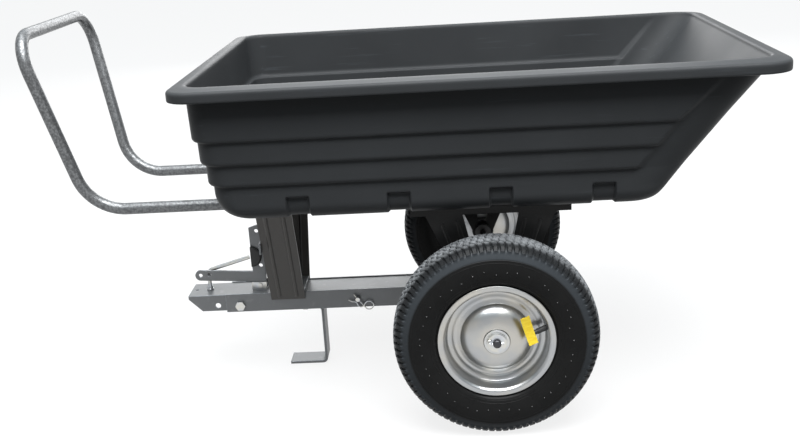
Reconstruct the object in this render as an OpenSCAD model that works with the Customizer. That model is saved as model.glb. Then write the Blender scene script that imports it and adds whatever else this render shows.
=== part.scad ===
// Tipping dump cart: a moulded tub that tips about the axle of a two-wheel tow chassis.
// Lengths are millimetres. Pieces are drawn from the middle of the axle: X runs to the rear, Z up.

/* [Wheels] */
// Outer diameter of the tyres
tyre_d = 406; // [390:1:430]
// Section width of the tyres
tyre_w = 102; // [94:1:112]
// Thickness of the tyre's sidewall
tyre_wall = 6; // [4:0.5:8]
// Diameter over the rim flanges
rim_d = 232; // [224:1:240]
// Width over the rim flanges
rim_w = 82; // [76:1:86]
// Sheet thickness of the rim halves
rim_sheet = 2.5; // [2:0.1:3]
// Diameter of the axle
axle_d = 16; // [14:0.5:18]
// Outer diameter of the hub tubes
hub_d = 50; // [46:1:54]
// Angle of the tyre valve above the horizontal
valve_turn = 12; // [0:1:60]

/* [Tub] */
// Reach of the front lip ahead of the axle
tub_front = 598; // [570:1:640]
// Reach of the rear lip behind the axle
tub_rear = 555; // [540:1:600]
// Width over the side lips
tub_w = 804; // [760:1:860]
// Height of the floor's underside above the axle
floor_z = 246; // [232:1:270]
// Height of the lip's top above the floor's underside
tub_h = 274; // [250:1:310]
// Wall thickness of the moulding
tub_wall = 5; // [4:0.5:7]
// Overhang of the lip at the sides
lip_side = 37; // [30:1:44]
// Overhang of the lip at the front
lip_front = 28; // [24:1:40]
// Overhang of the lip at the rear
lip_rear = 29; // [22:1:36]
// Height of the lip's turned-down skirt
lip_skirt = 21; // [12:1:26]
// Horizontal run of the rear wall for each unit of height
rear_run = 0.8; // [0.6:0.01:0.9]
// Radius between the front wall and the floor
toe_r = 55; // [45:1:65]
// Radius between the side walls and the floor
side_toe_r = 32; // [26:1:44]
// Radius between the rear wall and the floor
rear_toe_r = 42; // [36:1:90]
// Lean of the front wall from the lip to the floor
front_draft = 8; // [0:1:14]
// Depth of each step down the walls
step_in = 8; // [5:0.5:10]
// Place of the first cross channel ahead of the axle
rib_front = 372; // [350:1:380]
// Spacing of the cross channels
rib_pitch = 196; // [180:1:200]
// Width of a cross channel
rib_w = 47; // [40:1:54]
// Depth of a cross channel in the side walls
rib_depth = 11; // [6:0.5:14]
// Rise of a cross channel in the floor
rib_rise = 3; // [2:0.5:8]

/* [Handle] */
// Diameter of the handle tube
tube_d = 25; // [22:0.5:28]
// Wall of the handle tube
tube_wall = 2; // [1.5:0.1:3]
// Distance between the handle's two rails
handle_w = 314; // [280:1:340]
// Distance of the handle's lower corners ahead of the axle
handle_corner = 842; // [800:1:900]
// Rise of the grip above the rails
grip_rise = 377; // [300:1:420]
// Forward lean of the handle's legs
handle_lean = 12; // [5:0.1:25]
// Outward flare of each leg at the grip
handle_flare = 69; // [0:1:90]
// Bend radius at the lower corners
low_bend = 95; // [70:1:110]
// Bend radius at the grip
grip_bend = 75; // [60:1:100]
// Distance of the rails' rear ends ahead of the axle
rail_end = 30; // [10:1:40]

/* [Draw bar] */
// Width of the tongue
tongue_w = 80; // [70:1:90]
// Height of the tongue
tongue_h = 38; // [34:1:46]
// Drop of the tongue's top below the axle
tongue_drop = 17.5; // [15:0.5:24]
// Reach of the tongue's nose ahead of the axle
nose_x = 690; // [660:1:720]
// Reach of the draw bar ahead of the axle
bar_x = 603; // [590:1:610]
// Sheet thickness of the tongue, the bar, the struts and the brackets
sheet = 3; // [2.5:0.1:4]
// Diameter of the hitch pin
hitch_d = 12.6; // [11:0.1:14]
// Distance of the hitch pin ahead of the axle
hitch_x = 646; // [642:1:650]
// Diameter of the cross hole near the nose
cross_d = 12.6; // [10:0.1:14]
// Distance of the cross hole ahead of the axle
cross_x = 623; // [620:1:626]
// Distance of the tongue bolt ahead of the axle
tongue_bolt_x = 570; // [560:1:576]
// Distance of the clevis pin ahead of the axle
clevis_x = 299; // [260:1:330]
// Diameter of the clevis pin
clevis_d = 10; // [8:0.5:12]

/* [Struts and stand] */
// Width of a front strut
strut_w = 78; // [66:1:90]
// Distance of the struts' middle ahead of the axle
strut_x = 458; // [452:1:462]
// Width of the stand strap
stand_w = 50; // [40:1:60]
// Thickness of the stand strap
stand_t = 6; // [4:0.5:8]
// Distance of the stand's leg ahead of the axle
stand_x = 382; // [376:1:390]
// Length of the stand's foot
foot_len = 88; // [70:1:100]

/* [Latch] */
// Thickness of the latch lever
lever_t = 5; // [4:0.5:6]
// Distance of the latch pivot ahead of the axle
pivot_x = 527; // [524:1:530]
// Diameter of the latch pivot pin
pivot_d = 8; // [6:0.5:9]
// Length of the lever's arm ahead of the pivot
arm_len = 135; // [120:1:145]
// Height of the lever's hook above the pivot
hook_rise = 145; // [130:1:155]
// Wire diameter of the latch spring
spring_wire = 2; // [1.5:0.1:2.2]
// Curls of the latch spring
spring_curls = 4; // [3:1:4]

/* [Fits] */
// Radial clearance of a turning or sliding fit
run_fit = 0.05; // [0.02:0.01:0.1]
// Gap between pieces that rest on each other
seat_gap = 0.2; // [0.1:0.05:0.3]
// Gap beside pieces that move past each other
pass_gap = 0.4; // [0.3:0.1:0.6]
// Radial clearance round a bolt
bolt_gap = 0.3; // [0.2:0.05:0.5]
// Diameter of the frame bolts
bolt_d = 8; // [6:0.5:8]

/* [Hidden] */
$fn = 64;

// Wheel places along the axle, as distances from the cart's middle plane
wheel_r = tyre_d / 2;
bracket_inset = 105;
tyre_gap = 9;
bracket_y = tub_w / 2 - bracket_inset;
wheel_y = bracket_y + sheet + tyre_gap + tyre_w / 2;
bush_in = bracket_y - 14;
bush_out = bracket_y + sheet + 4;
bearing_lip = 3;
bearing_r = axle_d / 2 + 9;
hub_half = rim_w / 2;
bearing_end = hub_half + bearing_lip;
washer_t = 2.5;
washer_y = wheel_y + bearing_end + pass_gap;
cotter_r = 1.6;
cotter_y = washer_y + washer_t + seat_gap + cotter_r;
axle_end = cotter_y + 5.5;
axle_r = axle_d / 2;
bush_r = axle_r + 6;

// Tongue and draw bar
bolt_r = bolt_d / 2;
bolt_hole = bolt_r + bolt_gap;
tongue_top = -tongue_drop;
tongue_low = tongue_top - tongue_h;
tongue_rear = 150;
bar_in = tongue_w / 2 + seat_gap;
bar_out = bar_in + sheet;
bar_web = tongue_low - seat_gap;
bar_low = bar_web - sheet;
bar_top = tongue_top + 2;
bar_rear = 45;
nose_cut = 30;
cross_z = tongue_low + 0.33 * tongue_h;
tongue_bolt_d = 12;
clevis_z = (tongue_top + tongue_low) / 2;

// Tub outline
lip_z = tub_h - 10;
step_z = [165, 118, 74] * (tub_h / 274);
step_all = step_in * 3;
front_r = 46;
lip_r = 50;
lip_rear_r = 70;
crease_run = 84;
rear_slope = atan2(1, rear_run);
rear_top = tub_rear - lip_rear;
rear_foot = rear_top - rear_run * lip_z;
rear_tangent = rear_foot - rear_toe_r * tan(rear_slope / 2);
rib_x = [for (i = [0:3]) -rib_front + i * rib_pitch];
rib_edge = 4;
fade = 20;
crease_min = rib_x[3] + rib_w / 2 + rib_edge + fade;
crease_knee = lip_z - 70;
front_n = 6;
corner_n = 7;

// Handle and its bolts
tube_r = tube_d / 2;
rail_y = handle_w / 2;
rail_z = floor_z - seat_gap - tube_r;
low_tangent = low_bend * tan((90 - handle_lean) / 2);
leg_run = grip_rise / cos(handle_lean);
grip_x = -handle_corner - grip_rise * tan(handle_lean);
handle_bolt_x = [-strut_x + strut_w / 4, rib_x[0] + rib_pitch / 2, rib_x[1] + rib_pitch / 2];
rail_low = rail_z - tube_r;
pipe_sides = 20;
tube_bore = tube_r - tube_wall;
plug_r = tube_bore * cos(180 / pipe_sides) - run_fit;

// Front struts: they lean out from the bar's sides to the handle rails
strut_low = bar_top - 16;
strut_top = rail_low - seat_gap;
strut_foot_y = bar_out + pass_gap;
strut_head_y = rail_y - 14;
strut_lean = atan2(strut_head_y - strut_foot_y, strut_top - strut_low);
strut_len = (strut_top - sheet - strut_low) / cos(strut_lean);
groove_r = 5;

// Brackets under the tub
rail_half = 158;
rail_lip = 12;
bracket_top = floor_z - seat_gap;
leg_top = 130;
leg_wide = 74;
boss_r = 27;
bracket_flange = 46;
bracket_bolt_x = [-110, 110];
bracket_bolt_y = bracket_y - bracket_flange / 2;

// Latch
lever_clear = 3.4;
lever_y = -hitch_d / 2 - lever_clear - lever_t / 2;
ear_t = 3;
ear_gap = 0.5;
base_z = tongue_top + seat_gap;
pivot_r = pivot_d / 2;
lug_r = pivot_r + 4;
pivot_z = base_z + ear_t + pass_gap + lug_r;
striker_x = -strut_x - strut_w / 2 - seat_gap;
striker_t = 4;
striker_h = 25;
hook_z = pivot_z + hook_rise;
hook_t = 9;
hook_gap = 3;
striker_top = hook_z - hook_t - 4;
spring_room = 16;

// Overall placing: the origin is on the ground under the middle of the cart
ground = -wheel_r;
cart_x = (-grip_x + tube_r - tub_rear) / 2;

// Moves a piece from the axle's middle to the cart's own origin
module on_cart() {
    translate([cart_x, 0, wheel_r]) children();
}

// Repeats a piece on the far side
module both_sides() {
    children();
    mirror([0, 1, 0]) children();
}

// A cylinder across the cart, from one Y to another
module across(y0, y1, r) {
    translate([0, y0, 0]) rotate([-90, 0, 0]) cylinder(h = y1 - y0, r = r);
}

// A tube across the cart
module across_tube(y0, y1, r, bore) {
    difference() {
        across(y0, y1, r);
        across(y0 - 1, y1 + 1, bore);
    }
}

// A box given by its low and high corners
module box(low, high) {
    translate(low) cube(high - low);
}

// A hexagon prism along Z with its base at zero
module hex(af, h) {
    cylinder(h = h, d = af / cos(30), $fn = 6);
}

// A hex bolt that points down, with the underside of its head at zero
module hex_bolt(d, reach) {
    hex(1.7 * d, 0.65 * d);
    translate([0, 0, -reach]) cylinder(h = reach, d = d);
}

// A hex nut round a bolt, with its top face at zero
module hex_nut(d) {
    difference() {
        translate([0, 0, -0.8 * d]) hex(1.7 * d, 0.8 * d);
        translate([0, 0, -d]) cylinder(h = 2 * d, d = d + 2 * run_fit);
    }
}

// Carries a 2D section along straight runs [length, 0] and bends [radius, angle], turning in the XY plane
module bent(steps, i = 0) {
    if (i < len(steps)) {
        size = steps[i][0];
        turn = steps[i][1];
        if (turn == 0) {
            rotate([90, 0, 90]) linear_extrude(size) children();
            translate([size, 0, 0]) bent(steps, i + 1) children();
        } else {
            side = sign(turn);
            mirror([0, side < 0 ? 1 : 0, 0]) translate([0, size, 0]) rotate([0, 0, -90])
                rotate_extrude(angle = abs(turn)) translate([size, 0]) children();
            translate([size * sin(abs(turn)), side * size * (1 - cos(turn)), 0])
                rotate([0, 0, turn]) bent(steps, i + 1) children();
        }
    }
}

// Points of a flat path made of straight runs [length, 0] and bends [radius, angle]
bend_step = 12;
function trail(steps, at = [0, 0], dir = 0, i = 0) = i == len(steps) ? [] :
    let(size = steps[i][0], turn = steps[i][1], side = sign(turn), n = max(1, ceil(abs(turn) / bend_step)),
        hub = at + side * size * [-sin(dir), cos(dir)],
        run = turn == 0 ? [at + size * [cos(dir), sin(dir)]]
            : [for (k = [1:n]) let(a = dir + turn * k / n) hub + side * size * [sin(a), -cos(a)]])
    concat(run, trail(steps, run[len(run) - 1], dir + turn, i + 1));

// Cross directions carried along a path without twist
function unit(v) = v / norm(v);
function heading(p, i) = unit(p[min(i + 1, len(p) - 1)] - p[max(i - 1, 0)]);
function frames(p, i = 0, last = [0, 1, 0.001]) = i == len(p) ? [] :
    let(t = heading(p, i), u = unit(last - (last * t) * t))
    concat([[u, cross(t, u)]], frames(p, i + 1, u));

// A round wire or, with a bore, a pipe along a path of points
module pipe(p, r, bore, sides) {
    n = len(p);
    cross_dirs = frames(p);
    skins = bore > 0 ? [r, bore] : [r];
    points = [for (s = skins) for (i = [0:n - 1]) for (k = [0:sides - 1]) let(a = 360 * k / sides)
        p[i] + s * (cos(a) * cross_dirs[i][0] + sin(a) * cross_dirs[i][1])];
    count = n * sides;
    walls = [for (s = [0:len(skins) - 1]) for (i = [0:n - 2]) for (k = [0:sides - 1])
        let(a = s * count + i * sides + k, b = s * count + i * sides + (k + 1) % sides)
        each s == 0 ? [[a, b + sides, b], [a, a + sides, b + sides]]
            : [[a, b, b + sides], [a, b + sides, a + sides]]];
    ends = [for (e = [0, n - 1]) for (k = [0:sides - 1])
        let(a = e * sides + k, b = e * sides + (k + 1) % sides, flip = e > 0)
        each bore > 0
            ? (flip ? [[a, b + count, b], [a, a + count, b + count]]
                : [[a, b, b + count], [a, b + count, a + count]])
            : (k == 0 || k == sides - 1 ? [] : flip ? [[e * sides, b, a]] : [[e * sides, a, b]])];
    polyhedron(points, concat(walls, ends));
}

// Chassis

// The bolt's and the clevis pin's holes through both the draw bar and the tongue
module bar_cross_holes() {
    translate([-tongue_bolt_x, 0, cross_z]) across(-bar_out - 1, bar_out + 1, tongue_bolt_d / 2 + bolt_gap);
    translate([-clevis_x, 0, clevis_z]) across(-bar_out - 1, bar_out + 1, clevis_d / 2 + bolt_gap);
}

module draw_bar() {
    color("dimgray") on_cart() difference() {
        box([-bar_x, -bar_out, bar_low], [bar_rear, bar_out, bar_top]);
        box([-bar_x - 1, -bar_in, bar_web], [bar_rear + 1, bar_in, bar_top + 1]);
        bar_cross_holes();
        for (p = concat(cap_bolts(), stand_bolt_places()))
            translate([p[0], p[1], bar_low - 1]) cylinder(h = sheet + 2, r = bolt_hole);
    }
}

module tongue() {
    color("gray") on_cart() difference() {
        box([-nose_x, -tongue_w / 2, tongue_low], [-tongue_rear, tongue_w / 2, tongue_top]);
        box([-nose_x - 1, sheet - tongue_w / 2, tongue_low - 1],
            [1 - tongue_rear, tongue_w / 2 - sheet, tongue_top - sheet]);
        translate([-nose_x, -tongue_w / 2 - 1, tongue_low]) rotate([-90, 0, 0])
            linear_extrude(tongue_w + 2)
            polygon([[-1, 1], [nose_cut, 1], [nose_cut, 0], [0, -nose_cut], [-1, -nose_cut]]);
        translate([-hitch_x, 0, tongue_top - sheet - 1]) cylinder(h = sheet + 2, d = hitch_d + 2 * run_fit);
        translate([-nose_x + 12, 0, tongue_top - sheet - 1]) cylinder(h = sheet + 2, r = 4);
        translate([-cross_x, 0, cross_z]) across(-bar_out, bar_out, cross_d / 2);
        bar_cross_holes();
        for (p = latch_bolt_places()) translate([p[0], p[1], tongue_top - sheet - 1])
            cylinder(h = sheet + 2, r = latch_bolt_r + bolt_gap);
    }
}

module tongue_bolt() {
    color("silver") on_cart() translate([-tongue_bolt_x, -bar_out - seat_gap, cross_z]) rotate([90, 0, 0])
        hex_bolt(tongue_bolt_d, 2 * bar_out + 2 * seat_gap + tongue_bolt_d + 2);
}

module tongue_nut() {
    color("silver") on_cart() translate([-tongue_bolt_x, bar_out + seat_gap, cross_z]) rotate([90, 0, 0])
        hex_nut(tongue_bolt_d);
}

clip_wire = 2.6;
clip_y = bar_out + 7;

module clevis_pin() {
    head = 1.7 * clevis_d;
    color("silver") on_cart() translate([-clevis_x, 0, clevis_z]) difference() {
        union() {
            across(-clip_y - 6, bar_out + seat_gap + 1, clevis_d / 2);
            across(bar_out + seat_gap, bar_out + seat_gap + 4, head / 2);
        }
        translate([0, -clip_y, 0]) rotate([0, clip_turn, 0]) translate([0, 0, -clevis_d])
            cylinder(h = 2 * clevis_d, r = clip_wire / 2 + run_fit);
    }
}

// The clip's straight leg goes through the pin; its other leg humps over the pin beyond a round loop
clip_turn = -37;
clip_steps = [[42, 0], [10, 290], [6, 0], [8, -80], [8, -55], [9, 80], [10, -35], [6, 0]];

module r_clip() {
    path = [for (q = concat([[0, 0]], trail(clip_steps))) [q[0] - 14, 0, q[1]]];
    color("silver") on_cart() translate([-clevis_x, -clip_y, clevis_z]) rotate([0, clip_turn + 90, 0])
        pipe(path, clip_wire / 2, 0, 8);
}

module axle() {
    color("darkgray") on_cart() difference() {
        union() {
            across(-axle_end + 1.5, axle_end - 1.5, axle_r);
            both_sides() translate([0, -axle_end, 0]) rotate([-90, 0, 0])
                cylinder(h = 1.5, r1 = axle_r - 1.5, r2 = axle_r);
        }
        both_sides() translate([-axle_d, -cotter_y, 0]) rotate([0, 90, 0])
            cylinder(h = 2 * axle_d, r = cotter_r + run_fit);
    }
}

function cap_bolts() = [for (x = [-1, 1]) for (y = [-1, 1]) [x * 21, y * 24]];
seat_half_x = 32;
seat_half_y = 38;
cap_h = axle_r + 6;

module axle_block(z0, z1) {
    difference() {
        box([-seat_half_x, -seat_half_y, z0], [seat_half_x, seat_half_y, z1]);
        across(-seat_half_y - 1, seat_half_y + 1, axle_r + run_fit);
        for (p = cap_bolts()) translate([p[0], p[1], z0 - 1]) cylinder(h = z1 - z0 + 2, r = bolt_hole);
    }
}

// The seat stands in the channel's web and carries the axle above the bar
module axle_seat() {
    color("dimgray") on_cart() difference() {
        axle_block(bar_web + seat_gap, -seat_gap);
        box([-seat_half_x - 1, -seat_half_y + sheet * 4, bar_web], [seat_half_x + 1, -4, -axle_r - 8]);
        box([-seat_half_x - 1, 4, bar_web], [seat_half_x + 1, seat_half_y - sheet * 4, -axle_r - 8]);
    }
}

module axle_cap() {
    color("dimgray") on_cart() difference() {
        axle_block(seat_gap, cap_h);
        for (s = [-1, 1]) translate([s * (seat_half_x + 4), 0, cap_h + 4]) rotate([90, 0, 0])
            cylinder(h = 3 * seat_half_y, r = 12, center = true);
    }
}

module axle_cap_bolts() {
    color("silver") on_cart() for (p = cap_bolts()) translate([p[0], p[1], cap_h + seat_gap])
        hex_bolt(bolt_d, cap_h - bar_low + bolt_d + 2);
}

module axle_cap_nuts() {
    color("silver") on_cart() for (p = cap_bolts())
        translate([p[0], p[1], bar_low - seat_gap]) hex_nut(bolt_d);
}

module axle_spacers() {
    color("dimgray") on_cart() both_sides()
        across_tube(bush_out + pass_gap, wheel_y - bearing_end - pass_gap, axle_r + 5, axle_r + run_fit);
}

module axle_washers() {
    color("silver") on_cart() both_sides() across_tube(washer_y, washer_y + washer_t, 18.5, axle_r + run_fit);
}

module cotter_pins() {
    color("silver") on_cart() both_sides() translate([axle_r + 5, cotter_y, 0]) rotate([90, 0, 180])
        bent([[2 * axle_r + 11.5, 0], [3.6, 310]]) circle(r = cotter_r);
}

// A strap with a top flange, a leg and a foot that point forward
function stand_bolt_places() = [for (y = [-1, 1]) [-stand_x - foot_len / 2, y * stand_w / 4]];
stand_bend = 6;

module stand_leg() {
    inner = stand_bend + stand_t / 2;
    leg = bar_low - seat_gap - ground - stand_t - 2 * inner;
    flat = foot_len - stand_t / 2 - inner;
    color("dimgray") on_cart() difference() {
        translate([-stand_x - foot_len, 0, bar_low - seat_gap - stand_t / 2]) rotate([90, 0, 0])
            bent([[flat, 0], [inner, -90], [leg, 0], [inner, -90], [flat, 0]])
            square([stand_t, stand_w], center = true);
        for (p = stand_bolt_places())
            translate([p[0], p[1], bar_low - stand_t - 1]) cylinder(h = stand_t + 2, r = bolt_hole);
    }
}

module stand_bolts() {
    color("silver") on_cart() for (p = stand_bolt_places())
        translate([p[0], p[1], bar_low - 2 * seat_gap - stand_t]) mirror([0, 0, 1])
        hex_bolt(bolt_d, stand_t + sheet + bolt_d + 2);
}

module stand_nuts() {
    color("silver") on_cart() for (p = stand_bolt_places())
        translate([p[0], p[1], bar_web + seat_gap]) mirror([0, 0, 1]) hex_nut(bolt_d);
}

// Latch fixings: a U bracket on the tongue holds the pivot pin, the lever and the spring
latch_bolt_r = 3;
function latch_bolt_places() = [for (x = [-1, 1]) [-pivot_x + x * 11, spring_y1 + ear_t + 8]];
ear_near = lever_y - lever_t / 2 - ear_gap - ear_t;
spring_y0 = lever_y + lever_t / 2 + 1;
spring_y1 = spring_y0 + spring_room;

module latch_bracket() {
    ear_top = pivot_z + 8;
    color("lightsteelblue") on_cart() difference() {
        union() {
            box([-pivot_x - 17, ear_near, base_z], [-pivot_x + 17, spring_y1 + ear_t + 16, base_z + ear_t]);
            for (y = [ear_near, spring_y1])
                box([-pivot_x - 17, y, base_z], [-pivot_x + 17, y + ear_t, ear_top]);
        }
        translate([-pivot_x, 0, pivot_z]) across(ear_near - 1, spring_y1 + ear_t + 1, pivot_r + run_fit);
        for (p = latch_bolt_places())
            translate([p[0], p[1], base_z - 1]) cylinder(h = ear_t + 2, r = latch_bolt_r + bolt_gap);
    }
}

module latch_bracket_bolts() {
    color("silver") on_cart() for (p = latch_bolt_places()) {
        translate([p[0], p[1], base_z + ear_t + seat_gap]) hex_bolt(2 * latch_bolt_r, 18);
        translate([p[0], p[1], tongue_top - sheet - seat_gap]) hex_nut(2 * latch_bolt_r);
    }
}

module latch_pivot_pin() {
    color("silver") on_cart() translate([-pivot_x, 0, pivot_z]) {
        across(ear_near - seat_gap, spring_y1 + ear_t + 4, pivot_r);
        across(ear_near - seat_gap - 3, ear_near - seat_gap, pivot_r + 3);
    }
}

// The spring is one unbroken wire: a foot on the base, the curls round the pivot pin, and a leg by the lever
spring_r = pivot_r + spring_wire / 2 + 0.4;
spring_step = (spring_room - 1.5 * spring_wire) / (spring_curls + 0.5);
spring_leg = 16;
spring_foot = pivot_z - base_z - ear_t - spring_wire / 2 - pass_gap;

function spring_curl(a) =
    [spring_r * cos(a), spring_y1 - spring_wire - spring_step * a / 360, spring_r * sin(a)];
function spring_path() = concat(
    [for (k = [4:-1:1]) spring_curl(0) - [0, 0, k * spring_foot / 4]],
    [for (k = [0:8 * spring_curls]) spring_curl(45 * k)],
    [for (k = [1:4]) spring_curl(360 * spring_curls) + [0, 0, k * spring_leg / 4]]);

// The least gap of the spring to itself, between points more than half a curl apart
spring_points = spring_path();
spring_self = min([for (i = [0:len(spring_points) - 6]) for (k = [i + 5:len(spring_points) - 1])
    norm(spring_points[i] - spring_points[k])]) - spring_wire;
echo(spring_least_gap = spring_self);

module latch_spring() {
    color("silver") on_cart() translate([-pivot_x, 0, pivot_z]) pipe(spring_points, spring_wire / 2, 0, 6);
}

// Tub

// Inward run of a wall at a height over a toe of radius r, for a surface that lies off inside the outer one
function toe(h, off, r) = h >= r ? off : r - sqrt(max(0, pow(r - off, 2) - pow(r - h, 2)));

// Rear wall at a height: a fillet that runs into a slope
function rear_x(h, off) = h < rear_toe_r - (rear_toe_r - off) * cos(rear_slope)
    ? rear_tangent + sqrt(max(0, pow(rear_toe_r - off, 2) - pow(rear_toe_r - h, 2)))
    : rear_foot + rear_run * h - off / sin(rear_slope);

function blend(a, b, t) = a + (b - a) * min(max(t, 0), 1);
function rear_crease(h) = max(crease_min, rear_foot - crease_run + rear_run * h);
function crease_x(h) = h < crease_knee ? rear_crease(h)
    : blend(rear_crease(crease_knee), rear_top - lip_rear_r, (h - crease_knee) / (lip_z - crease_knee));
function smooth_in(h) = blend(0, step_all, (lip_z - h) / (lip_z - step_z[2]));

// Half outline of one level: front corner, channel stations, fade of the steps, rear corner
function half_level(z, front, rear, side, side_rear, corner, crease, rear_in, dent) = concat(
    [for (i = [0:front_n]) let(a = 90 * i / front_n)
        [front + corner * (1 - cos(a)), corner - side - corner * sin(a), z]],
    [for (x = rib_x) for (s = [-1, 1]) each let(edge = [x + s * rib_w / 2, -side, z],
        floor = [x + s * (rib_w / 2 - rib_edge), dent[0] - side, z + dent[1]])
        s < 0 ? [edge, floor] : [floor, edge]],
    [[crease - fade, -side, z]],
    [for (i = [0:corner_n]) let(a = 90 * i / corner_n, c = pow(max(cos(a), 0), 0.86), s = pow(sin(a), 0.86))
        [crease + (rear - crease) * s, rear_in * (1 - c) - side_rear, z]]);

function level(half) = concat(half, [for (i = [len(half) - 1:-1:0]) [half[i][0], -half[i][1], half[i][2]]]);

// A level of the wall, with its step inset and the depth of its channels
function wall_level(h, inset, off, dent) =
    let(run = toe(h, off, side_toe_r), side = tub_w / 2 - lip_side - run,
        front = lip_front - tub_front + front_draft * (1 - h / lip_z) + toe(h, off, toe_r))
    level(half_level(floor_z + h, front + inset, rear_x(h, off), side - inset, side - smooth_in(h),
        max(8, front_r - 0.6 * run), crease_x(h), blend(38, 50, h / lip_z), dent));

// A level of the toe, given by its angle round the toe radius
function toe_level(a, off, dent) = wall_level(toe_r - (toe_r - off) * sin(a), step_all, off,
    dent * [rib_depth * sqrt(cos(a)), rib_rise * sin(a)]);

// A level of the lip, given by its distance in from the lip's edge
function lip_level(in, z) = let(t = in / lip_side)
    level(half_level(floor_z + z, -tub_front + lip_front * t, tub_rear - lip_rear * t, tub_w / 2 - in,
        tub_w / 2 - in, blend(lip_r, front_r, t), tub_rear - lip_rear_r - lip_rear * t,
        blend(lip_rear_r, 50, t), [0, 0]));

toe_angles = [90, 78, 60, 42, 26, 12, 8, 0];
function toe_dent(a) = a > 10 ? 1 : 0;
function step_levels(off) = [for (i = [0:2]) each [
    wall_level(step_z[i] + 5 + off, i * step_in, off, [0, 0]),
    wall_level(step_z[i] + off, i * step_in + 2, off, [0, 0]),
    wall_level(step_z[i] - 1.5 + off, (i + 1) * step_in, off, [0, 0])]];

function tub_levels() =
    let(w = tub_wall, up = step_levels(w), under = tub_h - 10, skirt = tub_h - lip_skirt - 4)
    concat([for (a = toe_angles) toe_level(a, w, toe_dent(a))],
        [for (i = [8:-1:0]) up[i]],
        [lip_level(lip_side + w, tub_h - 7), lip_level(lip_side + w - 1.5, tub_h - 2),
            lip_level(lip_side - 1, tub_h), lip_level(lip_side - 10, tub_h - 0.8), lip_level(4, tub_h - 4),
            lip_level(0.8, tub_h - 6.5), lip_level(0, tub_h - 10), lip_level(0, skirt + 1.5),
            lip_level(1, skirt), lip_level(w - 1, skirt), lip_level(w, skirt + 1.5),
            lip_level(w + 0.5, under - 3), lip_level(w + 3, under), lip_level(lip_side - 4, under),
            lip_level(lip_side, under - 4)],
        step_levels(0),
        [for (i = [7:-1:0]) toe_level(toe_angles[i], 0, toe_dent(toe_angles[i]))]);

// Skins a stack of levels and closes both ends across the cart
module skin(levels) {
    n = len(levels[0]);
    m = len(levels);
    walls = [for (j = [0:m - 2]) for (i = [0:n - 1]) let(a = j * n + i, b = j * n + (i + 1) % n)
        each [[a, b + n, b], [a, a + n, b + n]]];
    low = [for (i = [0:n / 2 - 2]) each [[i, i + 1, n - 2 - i], [i, n - 2 - i, n - 1 - i]]];
    top = (m - 1) * n;
    high = [for (i = [0:n / 2 - 2]) each
        [[top + i, top + n - 2 - i, top + i + 1], [top + i, top + n - 1 - i, top + n - 2 - i]]];
    polyhedron([for (l = levels) each l], concat(walls, low, high));
}

function bracket_bolt_places() = [for (x = bracket_bolt_x) for (s = [-1, 1]) [x, s * bracket_bolt_y]];
function handle_bolt_places() = [for (x = handle_bolt_x) for (s = [-1, 1]) [x, s * rail_y]];

module floor_holes() {
    for (p = concat(bracket_bolt_places(), handle_bolt_places()))
        translate([p[0], p[1], floor_z - 1]) cylinder(h = tub_wall + 2, r = bolt_hole);
}

module tub() {
    color([0.13, 0.13, 0.14]) on_cart() difference() {
        skin(tub_levels());
        floor_holes();
    }
}

// Each side is a rail, the lower corner, the leaning leg and a grip corner; the legs flare up to the grip
handle_n = 9;
function on_leg(run, y) = [-handle_corner - run * sin(handle_lean), y, rail_z + run * cos(handle_lean)];
function handle_side() = concat([[-rail_end, -rail_y, rail_z]],
    [for (k = [0:handle_n]) let(a = 270 - (90 - handle_lean) * k / handle_n)
        [low_tangent - handle_corner + low_bend * cos(a), -rail_y, rail_z + low_bend * (1 + sin(a))]],
    [for (k = [0:handle_n]) let(a = 90 * k / handle_n)
        on_leg(leg_run - grip_bend * (1 - sin(a)), grip_bend * (1 - cos(a)) - rail_y)]);
function flared(p) = [p[0], p[1] - handle_flare * (p[2] - rail_z) / grip_rise, p[2]];
function handle_path() = let(near = [for (p = handle_side()) flared(p)])
    concat(near, [for (i = [len(near) - 1:-1:0]) [near[i][0], -near[i][1], near[i][2]]]);

module handle() {
    color("silver") on_cart() difference() {
        pipe(handle_path(), tube_r, tube_bore, pipe_sides);
        for (p = handle_bolt_places())
            translate([p[0], p[1], rail_z - tube_d]) cylinder(h = 2 * tube_d, r = bolt_hole);
    }
}

module handle_plugs() {
    color([0.1, 0.1, 0.1]) on_cart() both_sides() translate([-rail_end, rail_y, rail_z]) rotate([0, 90, 0]) {
        translate([0, 0, seat_gap]) cylinder(h = 3, r = tube_r);
        translate([0, 0, -14]) cylinder(h = 14 + seat_gap + 1, r = plug_r);
    }
}

function bolt_seat(x) = x == handle_bolt_x[0] ? strut_top - sheet : rail_low;

// A low round-headed bolt that comes down through the floor
module pan_bolt(reach) {
    cylinder(h = 2, r = 9);
    translate([0, 0, 2]) cylinder(h = 2.5, r1 = 9, r2 = 5);
    translate([0, 0, -reach]) cylinder(h = reach, d = bolt_d);
}

module handle_bolts() {
    top = floor_z + tub_wall + seat_gap;
    color("silver") on_cart() for (p = handle_bolt_places())
        translate([p[0], p[1], top]) pan_bolt(top - bolt_seat(p[0]) + bolt_d + 2);
}

module handle_nuts() {
    color("silver") on_cart() for (p = handle_bolt_places())
        translate([p[0], p[1], bolt_seat(p[0]) - seat_gap]) hex_nut(bolt_d);
}

// A pressed strut: a leaning plate bent out under the rail, with two lengthwise grooves
groove_w = 2.8;
groove_in = 12;
strut_run = (strut_top - sheet - strut_low) * tan(strut_lean) + sheet / cos(strut_lean);
strut_flange_y = rail_y + 16;

module strut_form() {
    translate([-strut_x - strut_w / 2, 0, 0]) rotate([90, 0, 90]) linear_extrude(strut_w)
        polygon([[-strut_foot_y, strut_low], [-strut_head_y, strut_top], [-strut_flange_y, strut_top],
            [-strut_flange_y, strut_top - sheet], [-strut_foot_y - strut_run, strut_top - sheet],
            [-strut_foot_y - sheet / cos(strut_lean), strut_low]]);
}

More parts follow.
